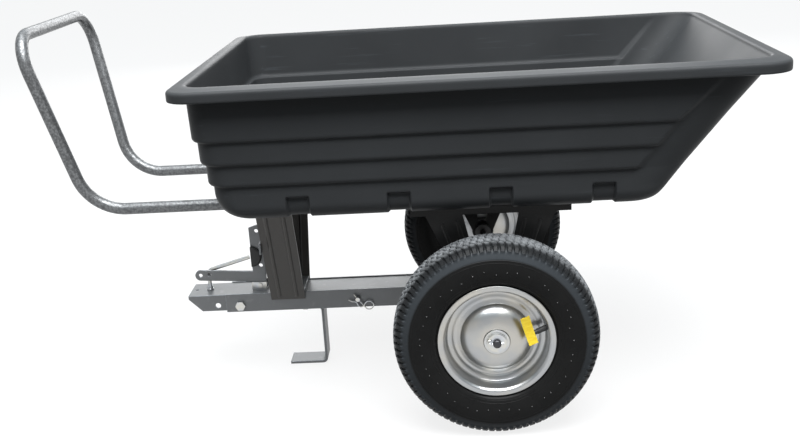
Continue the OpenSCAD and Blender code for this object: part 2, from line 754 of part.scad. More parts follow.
// Places a groove's tool along the strut, standing off the plate's inner face
module along_strut(side, ends, r) {
    translate([-strut_x + side * strut_w / 4, -strut_foot_y, strut_low]) rotate([strut_lean, 0, 0])
        translate([0, groove_r - 4 - sheet, ends]) cylinder(h = strut_len - 2 * ends, r = r);
}

module strut() {
    difference() {
        union() {
            strut_form();
            difference() {
                for (s = [-1, 1]) along_strut(s, groove_in, groove_r);
                translate([-strut_x, -strut_foot_y, strut_low]) rotate([strut_lean, 0, 0])
                    box([-strut_w, -sheet / 2, -1], [strut_w, 2 * groove_r, strut_len + 1]);
            }
        }
        for (s = [-1, 1]) along_strut(s, groove_in + groove_r - groove_w, groove_w);
        translate([handle_bolt_x[0], -rail_y, strut_top - 2 * sheet]) cylinder(h = 3 * sheet, r = bolt_hole);
    }
}

module strut_near() {
    color([0.33, 0.31, 0.28]) on_cart() strut();
}

module strut_far() {
    color([0.33, 0.31, 0.28]) on_cart() mirror([0, 1, 0]) strut();
}

// Half width between the struts at a height
function strut_gap(z) = strut_foot_y + (z - strut_low) * tan(strut_lean) - seat_gap;

// A folded tie between the struts that lands on the bar
module strut_saddle() {
    z = bar_top + pass_gap;
    half = strut_gap(z);
    color("dimgray") on_cart() {
        box([-strut_x + strut_w / 2 - 30, -half, z], [-strut_x + strut_w / 2 - 2, half, z + sheet]);
        box([-strut_x + strut_w / 2 - 30, -half, z], [-strut_x + strut_w / 2 - 30 + sheet, half, z + 14]);
    }
}

// The bar in front of the struts that the latch hooks over
module latch_striker() {
    half = strut_gap(striker_top - striker_h) + 18;
    color("dimgray") on_cart()
        box([striker_x - striker_t, -half, striker_top - striker_h], [striker_x, half, striker_top]);
}

// A pressed V: a top rail with a flange under the tub, two grooved legs and a boss round the axle
module leg_outline(s) {
    polygon([[s * leg_top, bracket_top - rail_lip], [s * (leg_top - leg_wide), bracket_top - rail_lip],
        [s * 6, 12], [s * boss_r * 0.95, 0]]);
}

module axle_bracket() {
    lean = atan2(leg_top - leg_wide / 2 - 18, bracket_top - rail_lip);
    reach = (bracket_top - rail_lip - 70) / cos(lean);
    difference() {
        union() {
            translate([0, -bracket_y, 0]) rotate([90, 0, 0]) linear_extrude(sheet) {
                leg_outline(-1);
                leg_outline(1);
                circle(r = boss_r);
                translate([-rail_half, bracket_top - rail_lip - 4]) square([2 * rail_half, rail_lip + 4]);
            }
            box([-rail_half, -bracket_y - sheet, bracket_top - sheet],
                [rail_half, -bracket_y + bracket_flange, bracket_top]);
            for (s = [-1, 1]) for (o = [-0.24, 0.24])
                translate([s * (30 + o * 36), -bracket_y - sheet + 2, 52]) rotate([0, s * (lean + o * 9), 0])
                cylinder(h = reach, r = 4.5);
        }
        box([-rail_half, -bracket_y, 0], [rail_half, -bracket_y + 12, bracket_top - sheet - 1]);
        across(-bracket_y - sheet - 9, -bracket_y + 1, bush_r + run_fit);
        for (x = bracket_bolt_x)
            translate([x, -bracket_bolt_y, bracket_top - 2 * sheet]) cylinder(h = 3 * sheet, r = bolt_hole);
    }
}

module axle_bracket_near() {
    color([0.2, 0.2, 0.21]) on_cart() axle_bracket();
}

module axle_bracket_far() {
    color([0.2, 0.2, 0.21]) on_cart() mirror([0, 1, 0]) axle_bracket();
}

module bracket_bushes() {
    color([0.12, 0.12, 0.12]) on_cart() both_sides() {
        across_tube(bush_in, bush_out, bush_r, axle_r + run_fit);
        across_tube(bush_in, bracket_y - seat_gap, bush_r + 6, axle_r + run_fit);
    }
}

module bracket_bolts() {
    top = floor_z + tub_wall + seat_gap;
    color("silver") on_cart() for (p = bracket_bolt_places())
        translate([p[0], p[1], top]) pan_bolt(top - bracket_top + sheet + bolt_d + 2);
}

module bracket_nuts() {
    color("silver") on_cart() for (p = bracket_bolt_places())
        translate([p[0], p[1], bracket_top - sheet - seat_gap]) hex_nut(bolt_d);
}

// Latch lever: an upright with a hook behind it and an arm that a foot presses
arm_h = 25;
nose_r = arm_h / 2;
nose_z = 29;
upright_w = 30;
upright_x = -13;

rope_hole = 4.5;
arm_drop = atan2(nose_z - 22, arm_len + upright_x);
hook_x = pivot_x + striker_x - striker_t - hook_gap;

// Height of the arm's top or bottom edge where it meets the upright
function arm_edge(side) = nose_z + side * nose_r / cos(arm_drop) - (arm_len + upright_x) * tan(arm_drop);

// One outline: round the nose, under the arm, round the pivot lug, up to the hook and back
function lever_points() = concat(
    [for (a = [90:10:270]) [-arm_len, nose_z] + nose_r * [cos(a - arm_drop), sin(a - arm_drop)]],
    [[upright_x, arm_edge(-1)], [upright_x, lug_r]],
    [for (a = [180:15:360]) lug_r * [cos(a), sin(a)]],
    [[upright_x + upright_w, lug_r], [upright_x + upright_w, hook_rise - hook_t - 1],
        [hook_x, hook_rise - hook_t], [hook_x, hook_rise], [upright_x + 18, hook_rise],
        [upright_x, hook_rise - 6], [upright_x, arm_edge(1)]]);

module lever_outline() {
    difference() {
        polygon(lever_points());
        circle(r = pivot_r + run_fit);
        for (p = [[-arm_len, nose_z], [-arm_len + 20, nose_z + 2], [7, 48], [4, hook_rise - 14]])
            translate(p) circle(r = rope_hole);
    }
}

module latch_lever() {
    color("gray") on_cart() translate([-pivot_x, lever_y + lever_t / 2, pivot_z]) rotate([90, 0, 0])
        linear_extrude(lever_t) lever_outline();
}

// A half-round rubber pad on the upright's near face
module latch_bumper() {
    color([0.08, 0.08, 0.08]) on_cart()
        translate([-pivot_x + upright_x, lever_y - lever_t / 2 - seat_gap, pivot_z + 71]) rotate([90, 0, 0])
        intersection() {
            union() {
                cylinder(h = 6, r = 24);
                translate([0, 0, 6]) cylinder(h = 2, r1 = 24, r2 = 21);
            }
            box([0, -30, -1], [30, 30, 10]);
        }
}

// A pin with a guide and a collar at the tongue, a bend and a thinner rod to lift it by
module hitch_pin() {
    collar = tongue_top + seat_gap;
    shank = 42;
    guide = 8;
    shank_r = hitch_d / 2 - 0.4;
    tip = 8;
    rod_r = 4.5;
    rod_steps = [[31, 0], [14, -74], [92, 0]];
    color("lightsteelblue") on_cart() translate([-hitch_x, 0, collar]) {
        translate([0, 0, -shank - tip]) cylinder(h = tip, r1 = shank_r - 3, r2 = shank_r);
        translate([0, 0, -shank]) cylinder(h = shank - guide, r = shank_r);
        translate([0, 0, -guide]) cylinder(h = 1, r1 = shank_r, r2 = hitch_d / 2);
        translate([0, 0, 1 - guide]) cylinder(h = guide - 1 + tip, d = hitch_d);
        cylinder(h = 4, r = hitch_d / 2 + 1.5);
        translate([0, 0, tip]) cylinder(h = 3, r1 = hitch_d / 2, r2 = rod_r + 0.7);
        translate([0, 0, tip - 2])
            pipe([for (q = concat([[0, 0]], trail(rod_steps))) [-q[1], 0, q[0]]], rod_r, 0, 12);
    }
}

// Wheels: each piece is drawn about the axle's line with its middle plane at zero, then set in place

module wheel_place(s) {
    translate([0, s * wheel_y, 0]) mirror([0, s < 0 ? 0 : 1, 0]) rotate([90, 0, 0]) children();
}

// Turns a section of [radius, distance outwards] about the axle
module turned() {
    rotate_extrude($fn = 96) children();
}

// Rounded section of the tyre: a squarish arc over the crown and an ellipse down to the bead
flange_r = rim_d / 2;
bead_r = flange_r - 12;
bead_half = rim_w / 2 - 4;
bead_cut = 4;
flank_r = flange_r + 1.5;
belly_r = bead_r + 0.53 * (wheel_r - bead_r);
section_n = 12;
function tyre_half(grow) = concat(
    [for (i = [0:section_n]) let(a = 90 * i / section_n)
        [belly_r + (wheel_r - belly_r + grow) * pow(cos(a), 0.72), (tyre_w / 2 + grow) * pow(sin(a), 0.72)]],
    [for (i = [1:section_n]) let(a = 90 * i / section_n)
        [belly_r - (belly_r - flank_r) * sin(a), bead_half + grow + (tyre_w / 2 - bead_half) * cos(a)]],
    grow < 0 ? [[bead_r - 1, bead_half + grow]]
        : [[bead_r + bead_cut, bead_half], [bead_r, bead_half - bead_cut]]);
function both_halves(p) = concat(p, [for (i = [len(p) - 1:-1:0]) [p[i][0], -p[i][1]]]);

groove_places = [-33, -17, 0, 17, 33];
module tyre() {
    color([0.09, 0.09, 0.09]) turned() difference() {
        polygon(both_halves(tyre_half(0)));
        polygon(both_halves(tyre_half(-tyre_wall)));
        for (g = groove_places) translate([wheel_r - 4.5 - 3 * pow(g / 33, 2), g - 2]) square([20, 4]);
    }
}

module inner_tube() {
    color([0.16, 0.16, 0.16]) turned() difference() {
        tube_form(tyre_wall + pass_gap);
        tube_form(tyre_wall + pass_gap + 3);
    }
}

module tube_form(inside) {
    intersection() {
        polygon(both_halves(tyre_half(-inside)));
        translate([bead_r + inside, -tyre_w]) square([wheel_r, 2 * tyre_w]);
    }
}

// Rim half: a rolled flange, the bead seat, the barrel, and a pressed disc that domes out to the hub
seat_r = bead_r - seat_gap;
disc_ring = 88;
dome_r = 69;
disc_n = 10;
hub_r = hub_d / 2;

dome_z = 12;
dome_h = rim_w / 2 - dome_z - rim_sheet - 2;

// The disc's line from the barrel to the hub: a flat ring, a bead, then an elliptic dome
function disc_line(up) = concat(
    [[disc_ring, 7 + up], [disc_ring - 5, 9 + up], [disc_ring - 10, 9 + up]],
    [for (i = [0:disc_n]) let(a = 90 * i / disc_n)
        [hub_r + seat_gap + (dome_r - hub_r) * cos(a), dome_z + up + dome_h * pow(sin(a), 1.1)]]);

module rim_section() {
    t = rim_sheet;
    out = rim_w / 2;
    under = disc_line(0);
    polygon(concat([[seat_r - 6, seat_gap], [seat_r - 6, 8], [seat_r - 3, 12], [seat_r, out - t - 4],
        [seat_r + 3, out - t - 1], [flange_r - 0.5, out - t], [flange_r, out - 1.2], [flange_r - 1.5, out],
        [seat_r + 2, out - 0.6], [seat_r - t, out - t - 3], [seat_r - 3 - t, 13], [seat_r - 6 - t, 7 + t]],
        disc_line(t), [for (i = [len(under) - 1:-1:0]) under[i]],
        [[seat_r - 6 - t, 7], [seat_r - 6 - t, seat_gap]]));
}

module rim_half() {
    color([0.8, 0.8, 0.8]) difference() {
        turned() rim_section();
        valve_hole();
    }
}

module valve_hole() {
    valve_axis() translate([0, 0, -10]) cylinder(h = 20, r = stem_r + bolt_gap);
}

module hub() {
    color([0.7, 0.7, 0.7]) turned() translate([bearing_r, -hub_half]) square([hub_r - bearing_r, 2 * hub_half]);
}

// A flanged bearing in each end of the hub
module hub_bearings() {
    bore = axle_r + run_fit;
    body = bearing_r - run_fit;
    color([0.3, 0.3, 0.3]) turned() for (s = [-1, 1]) mirror([0, s < 0 ? 1 : 0])
        polygon([[bore, hub_half - 14], [body, hub_half - 14], [body, hub_half + seat_gap],
            [body + 3, hub_half + seat_gap], [body + 3, bearing_end], [bore, bearing_end]]);
}

// Valve: a rubber stem through the barrel that points at the hub and leans outwards, with a cap
valve_s = 24;
valve_tilt = 26;
stem_r = 5.6;
stem_len = 24;
thread_r = 3.6;
cap_r = 4.8;
cap_len = 14;
module valve_axis() {
    rotate([0, 0, valve_turn]) translate([seat_r - 2, 0, valve_s]) rotate([0, valve_tilt - 90, 0]) children();
}

module valve_stem() {
    color([0.1, 0.1, 0.1]) valve_axis() {
        translate([0, 0, -3]) cylinder(h = stem_len + 3, r = stem_r);
        translate([0, 0, stem_len - 1]) cylinder(h = cap_len - 2, r = thread_r);
    }
}

module valve_cap() {
    color([0.06, 0.06, 0.06]) valve_axis() translate([0, 0, stem_len + seat_gap]) difference() {
        cylinder(h = cap_len, r = cap_r);
        translate([0, 0, -1]) cylinder(h = cap_len - 1, r = thread_r + run_fit);
    }
}

// A blank strip folded round the valve cap
tag_t = 0.8;
tag_w = 20;
tag_reach = [-19, 41];
module valve_tag_form() {
    r = cap_r + run_fit;
    fold = cap_len - 5;
    color([0.98, 0.82, 0.05]) valve_axis() translate([0, 0, stem_len + 4]) difference() {
        union() {
            cylinder(h = fold, r = r + tag_t);
            box([r, tag_reach[0], 0], [r + tag_t, tag_reach[1], tag_w]);
        }
        translate([0, 0, -1]) cylinder(h = tag_w + 2, r = r);
    }
}

module tyre_near() { on_cart() wheel_place(-1) tyre(); }
module tyre_far() { on_cart() wheel_place(1) tyre(); }
module inner_tube_near() { on_cart() wheel_place(-1) inner_tube(); }
module inner_tube_far() { on_cart() wheel_place(1) inner_tube(); }
module rim_outer_near() { on_cart() wheel_place(-1) rim_half(); }
module rim_outer_far() { on_cart() wheel_place(1) rim_half(); }
module rim_inner_near() { on_cart() wheel_place(-1) mirror([0, 0, 1]) rim_half(); }
module rim_inner_far() { on_cart() wheel_place(1) mirror([0, 0, 1]) rim_half(); }
module hub_near() { on_cart() wheel_place(-1) hub(); }
module hub_far() { on_cart() wheel_place(1) hub(); }
module hub_bearings_near() { on_cart() wheel_place(-1) hub_bearings(); }
module hub_bearings_far() { on_cart() wheel_place(1) hub_bearings(); }
module valve_stem_near() { on_cart() wheel_place(-1) valve_stem(); }
module valve_stem_far() { on_cart() wheel_place(1) valve_stem(); }
module valve_cap_near() { on_cart() wheel_place(-1) valve_cap(); }
module valve_cap_far() { on_cart() wheel_place(1) valve_cap(); }
module valve_tag() { on_cart() wheel_place(-1) valve_tag_form(); }

draw_bar();
tongue();
tongue_bolt();
tongue_nut();
clevis_pin();
r_clip();
axle();
axle_seat();
axle_cap();
axle_cap_bolts();
axle_cap_nuts();
axle_spacers();
axle_washers();
cotter_pins();
stand_leg();
stand_bolts();
stand_nuts();
latch_bracket();
latch_bracket_bolts();
latch_pivot_pin();
latch_spring();
tub();
handle();
handle_plugs();
handle_bolts();
handle_nuts();
strut_near();
strut_far();
strut_saddle();
latch_striker();
axle_bracket_near();
axle_bracket_far();
bracket_bushes();
bracket_bolts();
bracket_nuts();
latch_lever();
latch_bumper();
hitch_pin();
tyre_near();
tyre_far();
inner_tube_near();
inner_tube_far();
rim_outer_near();
rim_outer_far();
rim_inner_near();
rim_inner_far();
hub_near();
hub_far();
hub_bearings_near();
hub_bearings_far();
valve_stem_near();
valve_stem_far();
valve_cap_near();
valve_cap_far();
valve_tag();
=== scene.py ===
# %% [markdown]
# # A tipping dump cart
# The cart is a moulded tub on a steel chassis. The CAD model already holds every piece at its true size,
# so this lesson loads it as a fixed frame and adds what CAD leaves out: smooth mouldings, a treaded tyre,
# turned rims and the finishes. Every length below is in millimetres from the middle of the axle, as in the
# CAD source, and one function turns it into metres in the cart's own frame.

import bpy
import numpy as np
from mathutils import Matrix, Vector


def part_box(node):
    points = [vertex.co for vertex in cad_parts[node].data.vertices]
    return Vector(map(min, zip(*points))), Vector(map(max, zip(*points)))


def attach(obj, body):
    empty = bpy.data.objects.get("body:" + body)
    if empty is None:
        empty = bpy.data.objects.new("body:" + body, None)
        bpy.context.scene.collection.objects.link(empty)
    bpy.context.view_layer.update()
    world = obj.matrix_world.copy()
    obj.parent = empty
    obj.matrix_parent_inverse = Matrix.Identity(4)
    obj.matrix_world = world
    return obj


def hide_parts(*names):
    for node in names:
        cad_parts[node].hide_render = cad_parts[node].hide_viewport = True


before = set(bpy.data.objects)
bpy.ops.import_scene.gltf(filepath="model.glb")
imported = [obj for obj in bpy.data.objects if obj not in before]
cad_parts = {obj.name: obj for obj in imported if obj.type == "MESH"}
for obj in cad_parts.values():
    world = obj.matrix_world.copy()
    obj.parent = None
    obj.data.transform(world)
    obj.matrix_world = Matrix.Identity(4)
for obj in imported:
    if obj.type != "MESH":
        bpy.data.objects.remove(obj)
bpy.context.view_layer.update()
AXLE = np.mean([np.array(corner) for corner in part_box("axle")], axis=0)


def in_cart(points):
    """Millimetres from the axle's middle become metres from the cart's origin."""
    return np.asarray(points, float) * 0.001 + AXLE


# %% [markdown]
# The camera was worked out from the photograph: the lip's corners, the wheel and the handle were matched to
# their pixels, which gives the place and the turn of the camera. Its three directions are kept as the
# columns of a matrix, because that is exactly what Blender stores.

# %% Camera
VIEW_FROM = [-72.0, -2293.3, 848.4]
TO_RIGHT = np.array([0.9977, 0.0351, -0.0585])
TO_DOWN = np.array([-0.0452, -0.3017, -0.9523])
SENSOR, FOCAL_PIXELS, PHOTO_PIXELS = 36, 1060, 800


def camera_matrix(place, right, down):
    """Columns: right, up, backwards and place; each direction is made square to the one before it."""
    right = right / np.linalg.norm(right)
    up = -(down - right * (down @ right))
    up = up / np.linalg.norm(up)
    turn = np.eye(4)
    turn[:3, 0], turn[:3, 1], turn[:3, 2], turn[:3, 3] = right, up, np.cross(right, up), place
    return Matrix(turn.tolist())


scene = bpy.context.scene
camera = bpy.data.objects.new("camera", bpy.data.cameras.new("camera"))
scene.collection.objects.link(camera)
camera.data.sensor_width = SENSOR
camera.data.lens = SENSOR * FOCAL_PIXELS / PHOTO_PIXELS
camera.matrix_world = camera_matrix(in_cart(VIEW_FROM), TO_RIGHT, TO_DOWN)
scene.camera = camera
scene.view_settings.view_transform = "Standard"
print("lens", round(camera.data.lens, 2), "camera at", np.round(in_cart(VIEW_FROM), 3))

# %% [markdown]
# A finish in Blender is a tree of shader nodes. Wiring nodes by hand is slow to read, so a small class wraps
# one socket and lets plain Python arithmetic add the Math nodes. Everything else comes from one method that
# takes the node's type, its settings and its sockets.


# %% Shader sockets as Python values
class Value:
    """One output socket of a finish; arithmetic on it adds Math nodes."""

    def __init__(self, finish, socket):
        self.finish, self.socket = finish, socket

    def math(self, operation, *terms):
        """A Math node on the given terms, and on no others."""
        return self.finish.node("ShaderNodeMath", {"operation": operation}, dict(enumerate(terms)))

    def output(self, name):
        """Another output of the same node."""
        return Value(self.finish, self.socket.node.outputs[name])

    def __add__(self, other):
        return self.math("ADD", self, other)

    def __sub__(self, other):
        return self.math("SUBTRACT", self, other)

    def __rsub__(self, other):
        return self.math("SUBTRACT", other, self)

    def __mul__(self, other):
        return self.math("MULTIPLY", self, other)

    __radd__, __rmul__ = __add__, __mul__

    def step(self, low, high):
        """0 below low, 1 above high, and a soft ramp between them."""
        return self.finish.node("ShaderNodeMapRange", {"interpolation_type": "SMOOTHSTEP"},
                                {"Value": self, "From Min": low, "From Max": high})

    def line(self, place, width):
        """1 on a place and 0 at a width from it: a soft thin line."""
        gap = self - place
        return 1 - gap.math("ABSOLUTE", gap).step(0, width)


class Finish:
    """A material and the one method that adds its nodes."""

    def __init__(self, name):
        self.material = bpy.data.materials.new(name)
        self.material.use_nodes = True
        self.tree = self.material.node_tree
        self.shader = self.tree.nodes["Principled BSDF"]
        self.place = self.node("ShaderNodeTexCoord", out="Object")

    def node(self, kind, settings=None, sockets=None, out=0):
        """Adds a node: its settings first, then a value or a link for each socket."""
        node = self.tree.nodes.new(kind)
        for key, value in (settings or {}).items():
            setattr(node, key, value)
        self.fill(node, sockets or {})
        return Value(self, node.outputs[out])

    def fill(self, node, sockets):
        """Links each socket that is given a Value, and sets the others to a number or a colour."""
        for key, value in sockets.items():
            if isinstance(value, Value):
                self.tree.links.new(value.socket, node.inputs[key])
            else:
                node.inputs[key].default_value = value

    def mix(self, share, first, second):
        """The first colour where the share is 0 and the second where it is 1."""
        return self.node("ShaderNodeMix", {"data_type": "RGBA"}, {0: share, 6: first, 7: second}, out=2)

    def noise(self, scale, detail=2.0, stretch=None):
        """Noise with so many features per metre; stretch scales the place along each axis first."""
        place = self.place
        if stretch:
            place = self.node("ShaderNodeVectorMath", {"operation": "MULTIPLY"}, {0: place, 1: stretch})
        return self.node("ShaderNodeTexNoise", {}, {"Vector": place, "Scale": scale, "Detail": detail})

    def soft_edges(self, radius):
        """A normal that turns gradually within the radius of each edge."""
        return self.node("ShaderNodeBevel", {"samples": 6}, {"Radius": radius})

    def bump(self, height, depth, under=None, strength=1.0):
        """A normal tilted by a height times a depth in metres, on top of another normal if there is one."""
        sockets = {"Height": height, "Distance": depth, "Strength": strength}
        if under:
            sockets["Normal"] = under
        return self.node("ShaderNodeBump", {}, sockets)

    def wheel_radius(self):
        """Distance from the axle's line in metres."""
        middle = self.node("ShaderNodeVectorMath", {"operation": "SUBTRACT"},
                           {0: self.place, 1: [AXLE[0], 0, AXLE[2]]})
        flat = self.node("ShaderNodeVectorMath", {"operation": "MULTIPLY"}, {0: middle, 1: [1, 0, 1]})
        return self.node("ShaderNodeVectorMath", {"operation": "LENGTH"}, {0: flat}, out="Value")

    def done(self, **sockets):
        """Fills the main shader's sockets, whose names have spaces in place of underscores."""
        self.fill(self.shader, {key.replace("_", " "): value for key, value in sockets.items()})
        return self.material


def grey(level, warm=0.0):
    """A grey as linear light, with a little more red than blue where it is warm."""
    return (level * (1 + warm), level, level * (1 - warm), 1.0)


print("shader helper ready")

# %% [markdown]
# The tub is rotationally moulded polyethylene. Up close it has a fine pebble grain and slightly uneven gloss,
# which is why its highlights look soft and a little cloudy. Grain goes into the bump, cloudiness into the
# roughness, and a few long rubs into the colour.

# %% Moulded black plastic
plastic = Finish("moulded_plastic")
cloud = plastic.noise(7.0, 3.0)
grain = plastic.noise(650.0, 2.0)
rubs = plastic.noise(14.0, 4.0, (0.5, 9.0, 9.0)).step(0.62, 0.74)
tub_finish = plastic.done(
    Base_Color=plastic.mix(rubs * 0.45, plastic.mix(cloud, grey(0.028, -0.06), grey(0.040, -0.06)),
                           grey(0.06, -0.10)),
    Roughness=cloud * 0.16 + grain * 0.06 + 0.33,
    Specular_IOR_Level=0.09,
    Normal=plastic.bump(grain, 0.00018, strength=0.5),
)
print("finish", tub_finish.name)

# %% [markdown]
# The handle has a hammered enamel: as it dries, the paint pulls into small cells with dark rims and bright
# middles. A smooth Voronoi pattern gives those cells, and the same value drives colour, gloss and bump so
# that they agree.

# %% Hammered silver paint
hammer = Finish("hammered_paint")
cells = hammer.node("ShaderNodeTexVoronoi", {"feature": "SMOOTH_F1"},
                    {"Vector": hammer.place, "Scale": 210.0, "Smoothness": 0.6, "Randomness": 1.0})
fleck = hammer.noise(420.0, 3.0)
mottle = (cells * 0.9 + fleck * 0.5).step(0.30, 0.95)
handle_finish = hammer.done(
    Base_Color=hammer.mix(mottle, grey(0.21, -0.03), grey(0.10, -0.03)),
    Metallic=0.60,
    Roughness=mottle * 0.14 + 0.26,
    Normal=hammer.bump(1 - mottle, 0.00025, strength=0.4),
)
print("finish", handle_finish.name)

# %% [markdown]
# The draw bar, tongue, lever and stand are dark powder coat: a semi-matt skin with a fine orange peel. Sheet
# steel is never sharp, so a Bevel node rounds the edges in the shading, and a painted highlight makes the
# coat lighter and bluer there. One function makes each painted colour, since only the levels differ.


# %% Painted steel
def painted(name, dark, light, gloss, metal=0.0, edge=0.0012, warm=0.0, shine=0.5):
    """Powder coat: two greys by a cloud, orange peel in the bump, and a painted highlight on the rounded
    edges.
    """
    coat = Finish(name)
    cloud = coat.noise(11.0, 4.0)
    peel = coat.noise(900.0, 1.0)
    dust = coat.noise(55.0, 5.0).step(0.58, 0.80)
    rounded = coat.soft_edges(edge)
    flat = coat.node("ShaderNodeNewGeometry", out="True Normal")
    # Where the rounded normal leans away from the flat one, the colour turns lighter and bluer: a painted
    # highlight along every edge.
    painted_edge_highlight = 1 - coat.node("ShaderNodeVectorMath", {"operation": "DOT_PRODUCT"}, {0: rounded, 1: flat},
                         out="Value")
    plain = coat.mix(dust * 0.3, coat.mix(cloud, grey(dark, warm), grey(light, warm)), grey(light * 1.7))
    return coat.done(
        Base_Color=coat.mix(painted_edge_highlight.step(0.04, 0.25), plain, grey(light * 2.6, -0.08)),
        Metallic=metal,
        Specular_IOR_Level=shine,
        Roughness=cloud * 0.12 + peel * 0.05 + gloss,
        Normal=coat.bump(peel, 0.00012, rounded, 0.5),
    )


frame_finish = painted("frame_coat", 0.15, 0.21, 0.34, 0.40, 0.0022, -0.03)
strut_finish = painted("strut_coat", 0.042, 0.058, 0.24, warm=0.12)
bracket_finish = painted("bracket_coat", 0.008, 0.012, 0.18, shine=0.15)
print("finishes", frame_finish.name, strut_finish.name, bracket_finish.name)

# %% [markdown]
# Bolts, pins and clips are zinc plated. Zinc is bright but not a mirror: it has a faint bluish and yellowish
# cloud and a satin gloss. The rims are the same metal, spun on a lathe, so their gloss changes in fine rings
# round the axle; noise read along the radius gives those. Their warm patches are a painted reflection.


# %% Zinc, spun rims and bare steel
def plated(name, cool, warm, gloss, edge=0.0005):
    """Plated metal: two tints by a cloud, uneven gloss and rounded edges."""
    metal = Finish(name)
    cloud = metal.noise(60.0, 4.0)
    fine = metal.noise(700.0, 2.0)
    return metal.done(
        Base_Color=metal.mix(cloud.step(0.35, 0.65), cool, warm),
        Metallic=1.0,
        Roughness=cloud * 0.2 + fine * 0.08 + gloss,
        Normal=metal.bump(fine, 0.00006, metal.soft_edges(edge), 0.4),
    )


zinc_finish = plated("zinc_plate", (0.50, 0.52, 0.55, 1), (0.58, 0.57, 0.53, 1), 0.20)
wire_finish = plated("spring_wire", (0.50, 0.51, 0.53, 1), (0.60, 0.60, 0.58, 1), 0.16, 0.0002)
axle_finish = plated("axle_steel", (0.06, 0.06, 0.065, 1), (0.10, 0.095, 0.09, 1), 0.30)
hub_finish = plated("hub_steel", (0.48, 0.49, 0.50, 1), (0.56, 0.56, 0.54, 1), 0.26)

rim = Finish("spun_rim")
ringed = rim.node("ShaderNodeCombineXYZ", {}, {"X": rim.wheel_radius()})
rings = rim.node("ShaderNodeTexNoise", {}, {"Vector": ringed, "Scale": 900.0, "Detail": 2.0})
# Warm patches in the rim's colour are a painted reflection of warm ground; the same noise also varies the
# gloss.
smear_and_warm_reflection = rim.noise(16.0, 3.0)
rim_finish = rim.done(
    Base_Color=rim.mix(smear_and_warm_reflection.step(0.35, 0.7), (0.37, 0.38, 0.39, 1), (0.46, 0.445, 0.41, 1)),
    Metallic=1.0,
    Roughness=rings * 0.10 + smear_and_warm_reflection * 0.14 + 0.19,
    Normal=rim.bump(rings, 0.00003, strength=0.3),
)
print("finishes", zinc_finish.name, wire_finish.name, axle_finish.name, hub_finish.name, rim_finish.name)

# %% [markdown]
# The tyre's black rubber is smooth on the sidewall and scuffed to a dry grey on the tread. A bluish grey band
# below the lugs is a painted sheen, and the lighter block tops are scuff and painted highlight in one, which
# leaves the grooves dark. Fine rings run round the sidewall. They are lines at given distances from the axle,
# so they go into the bump as a function of that radius, where no mesh could be fine enough.

# %% Rubber, film and small plastics
tyre_look = Finish("tyre_rubber")
reach = tyre_look.wheel_radius()
dry = tyre_look.noise(30.0, 4.0)
skin = tyre_look.noise(900.0, 2.0)
# A band below the lugs turns bluish grey all the way round: a painted sheen.
sheen_band = reach.step(0.170, 0.175) * (1 - reach.step(0.185, 0.191) * 0.75)
# Dry grey on the block tops is partly scuff and partly a painted highlight; the grooves stay dark.
scuff_and_highlight = reach.step(0.1970, 0.2022) * dry.step(0.10, 0.60)
mould_rings = (reach.line(0.1710, 0.0009) + reach.line(0.1655, 0.0009)
               + reach.line(0.1295, 0.0008) + reach.line(0.1245, 0.0008))
smooth_black = tyre_look.mix(dry, grey(0.008), grey(0.014))
with_painted_sheen = tyre_look.mix(sheen_band * 0.8, smooth_black, grey(0.048, -0.12))
tyre_finish = tyre_look.done(
    Base_Color=tyre_look.mix(scuff_and_highlight, with_painted_sheen, grey(0.19, -0.05)),
    Roughness=dry * 0.12 + scuff_and_highlight * 0.22 + 0.22,
    Specular_IOR_Level=0.07,
    Normal=tyre_look.bump(mould_rings + skin * 0.06, 0.0006, strength=0.8),
)


def rubbery(name, level, gloss):
    """Small black mouldings: a fine grain and uneven gloss."""
    look = Finish(name)
    cloud = look.noise(80.0, 3.0)
    skin = look.noise(1200.0, 2.0)
    return look.done(
        Base_Color=look.mix(cloud, grey(level), grey(level * 1.6)),
        Roughness=cloud * 0.15 + gloss,
        Normal=look.bump(skin, 0.0001, look.soft_edges(0.0006), 0.5),
    )


whisker_finish = rubbery("dry_rubber", 0.10, 0.60)
rubber_finish = rubbery("black_rubber", 0.014, 0.50)
plug_finish = rubbery("black_plastic", 0.016, 0.34)
film = Finish("yellow_film")
crease = film.noise(90.0, 3.0, (1.0, 1.0, 3.0))
film_finish = film.done(
    Base_Color=film.mix(crease.step(0.3, 0.7), (0.86, 0.60, 0.02, 1), (0.95, 0.72, 0.05, 1)),
    Roughness=crease * 0.15 + 0.30,
    Normal=film.bump(crease, 0.0008, strength=0.4),
)
print("finishes", tyre_finish.name, whisker_finish.name, rubber_finish.name, plug_finish.name,
      film_finish.name)

# %% [markdown]
# A surface here is a grid of points: one direction runs along the rows, the other along the columns. A face
# joins four neighbours, and the last row or column may join the first again. A closed shell's signed volume
# tells whether its faces point outwards, so a shell that comes out negative is simply turned round.


# %% Grids, shells and pieces
def grid_faces(rows, cols, ring_rows=False, ring_cols=True):
    """Quads between neighbouring rows and columns; a ring wraps from the last to the first."""
    i = np.arange(rows if ring_rows else rows - 1)[:, None]
    j = np.arange(cols if ring_cols else cols - 1)[None, :]
    here, below = i * cols, (i + 1) % rows * cols
    return np.stack([here + j, here + (j + 1) % cols, below + (j + 1) % cols, below + j], -1).reshape(-1, 4)


def shell(points, *blocks):
    """Points and blocks of faces, turned so that the volume under the faces is positive."""
    points = np.asarray(points, float).reshape(-1, 3)
    middle = points - points.mean(axis=0)
    fans = ((block[:, 0], block[:, k], block[:, k + 1])
            for block in blocks for k in range(1, block.shape[1] - 1))
    volume = sum(np.einsum("ij,ij->", middle[a], np.cross(middle[b], middle[c])) for a, b, c in fans)
    return points, [block if volume > 0 else block[:, ::-1] for block in blocks]


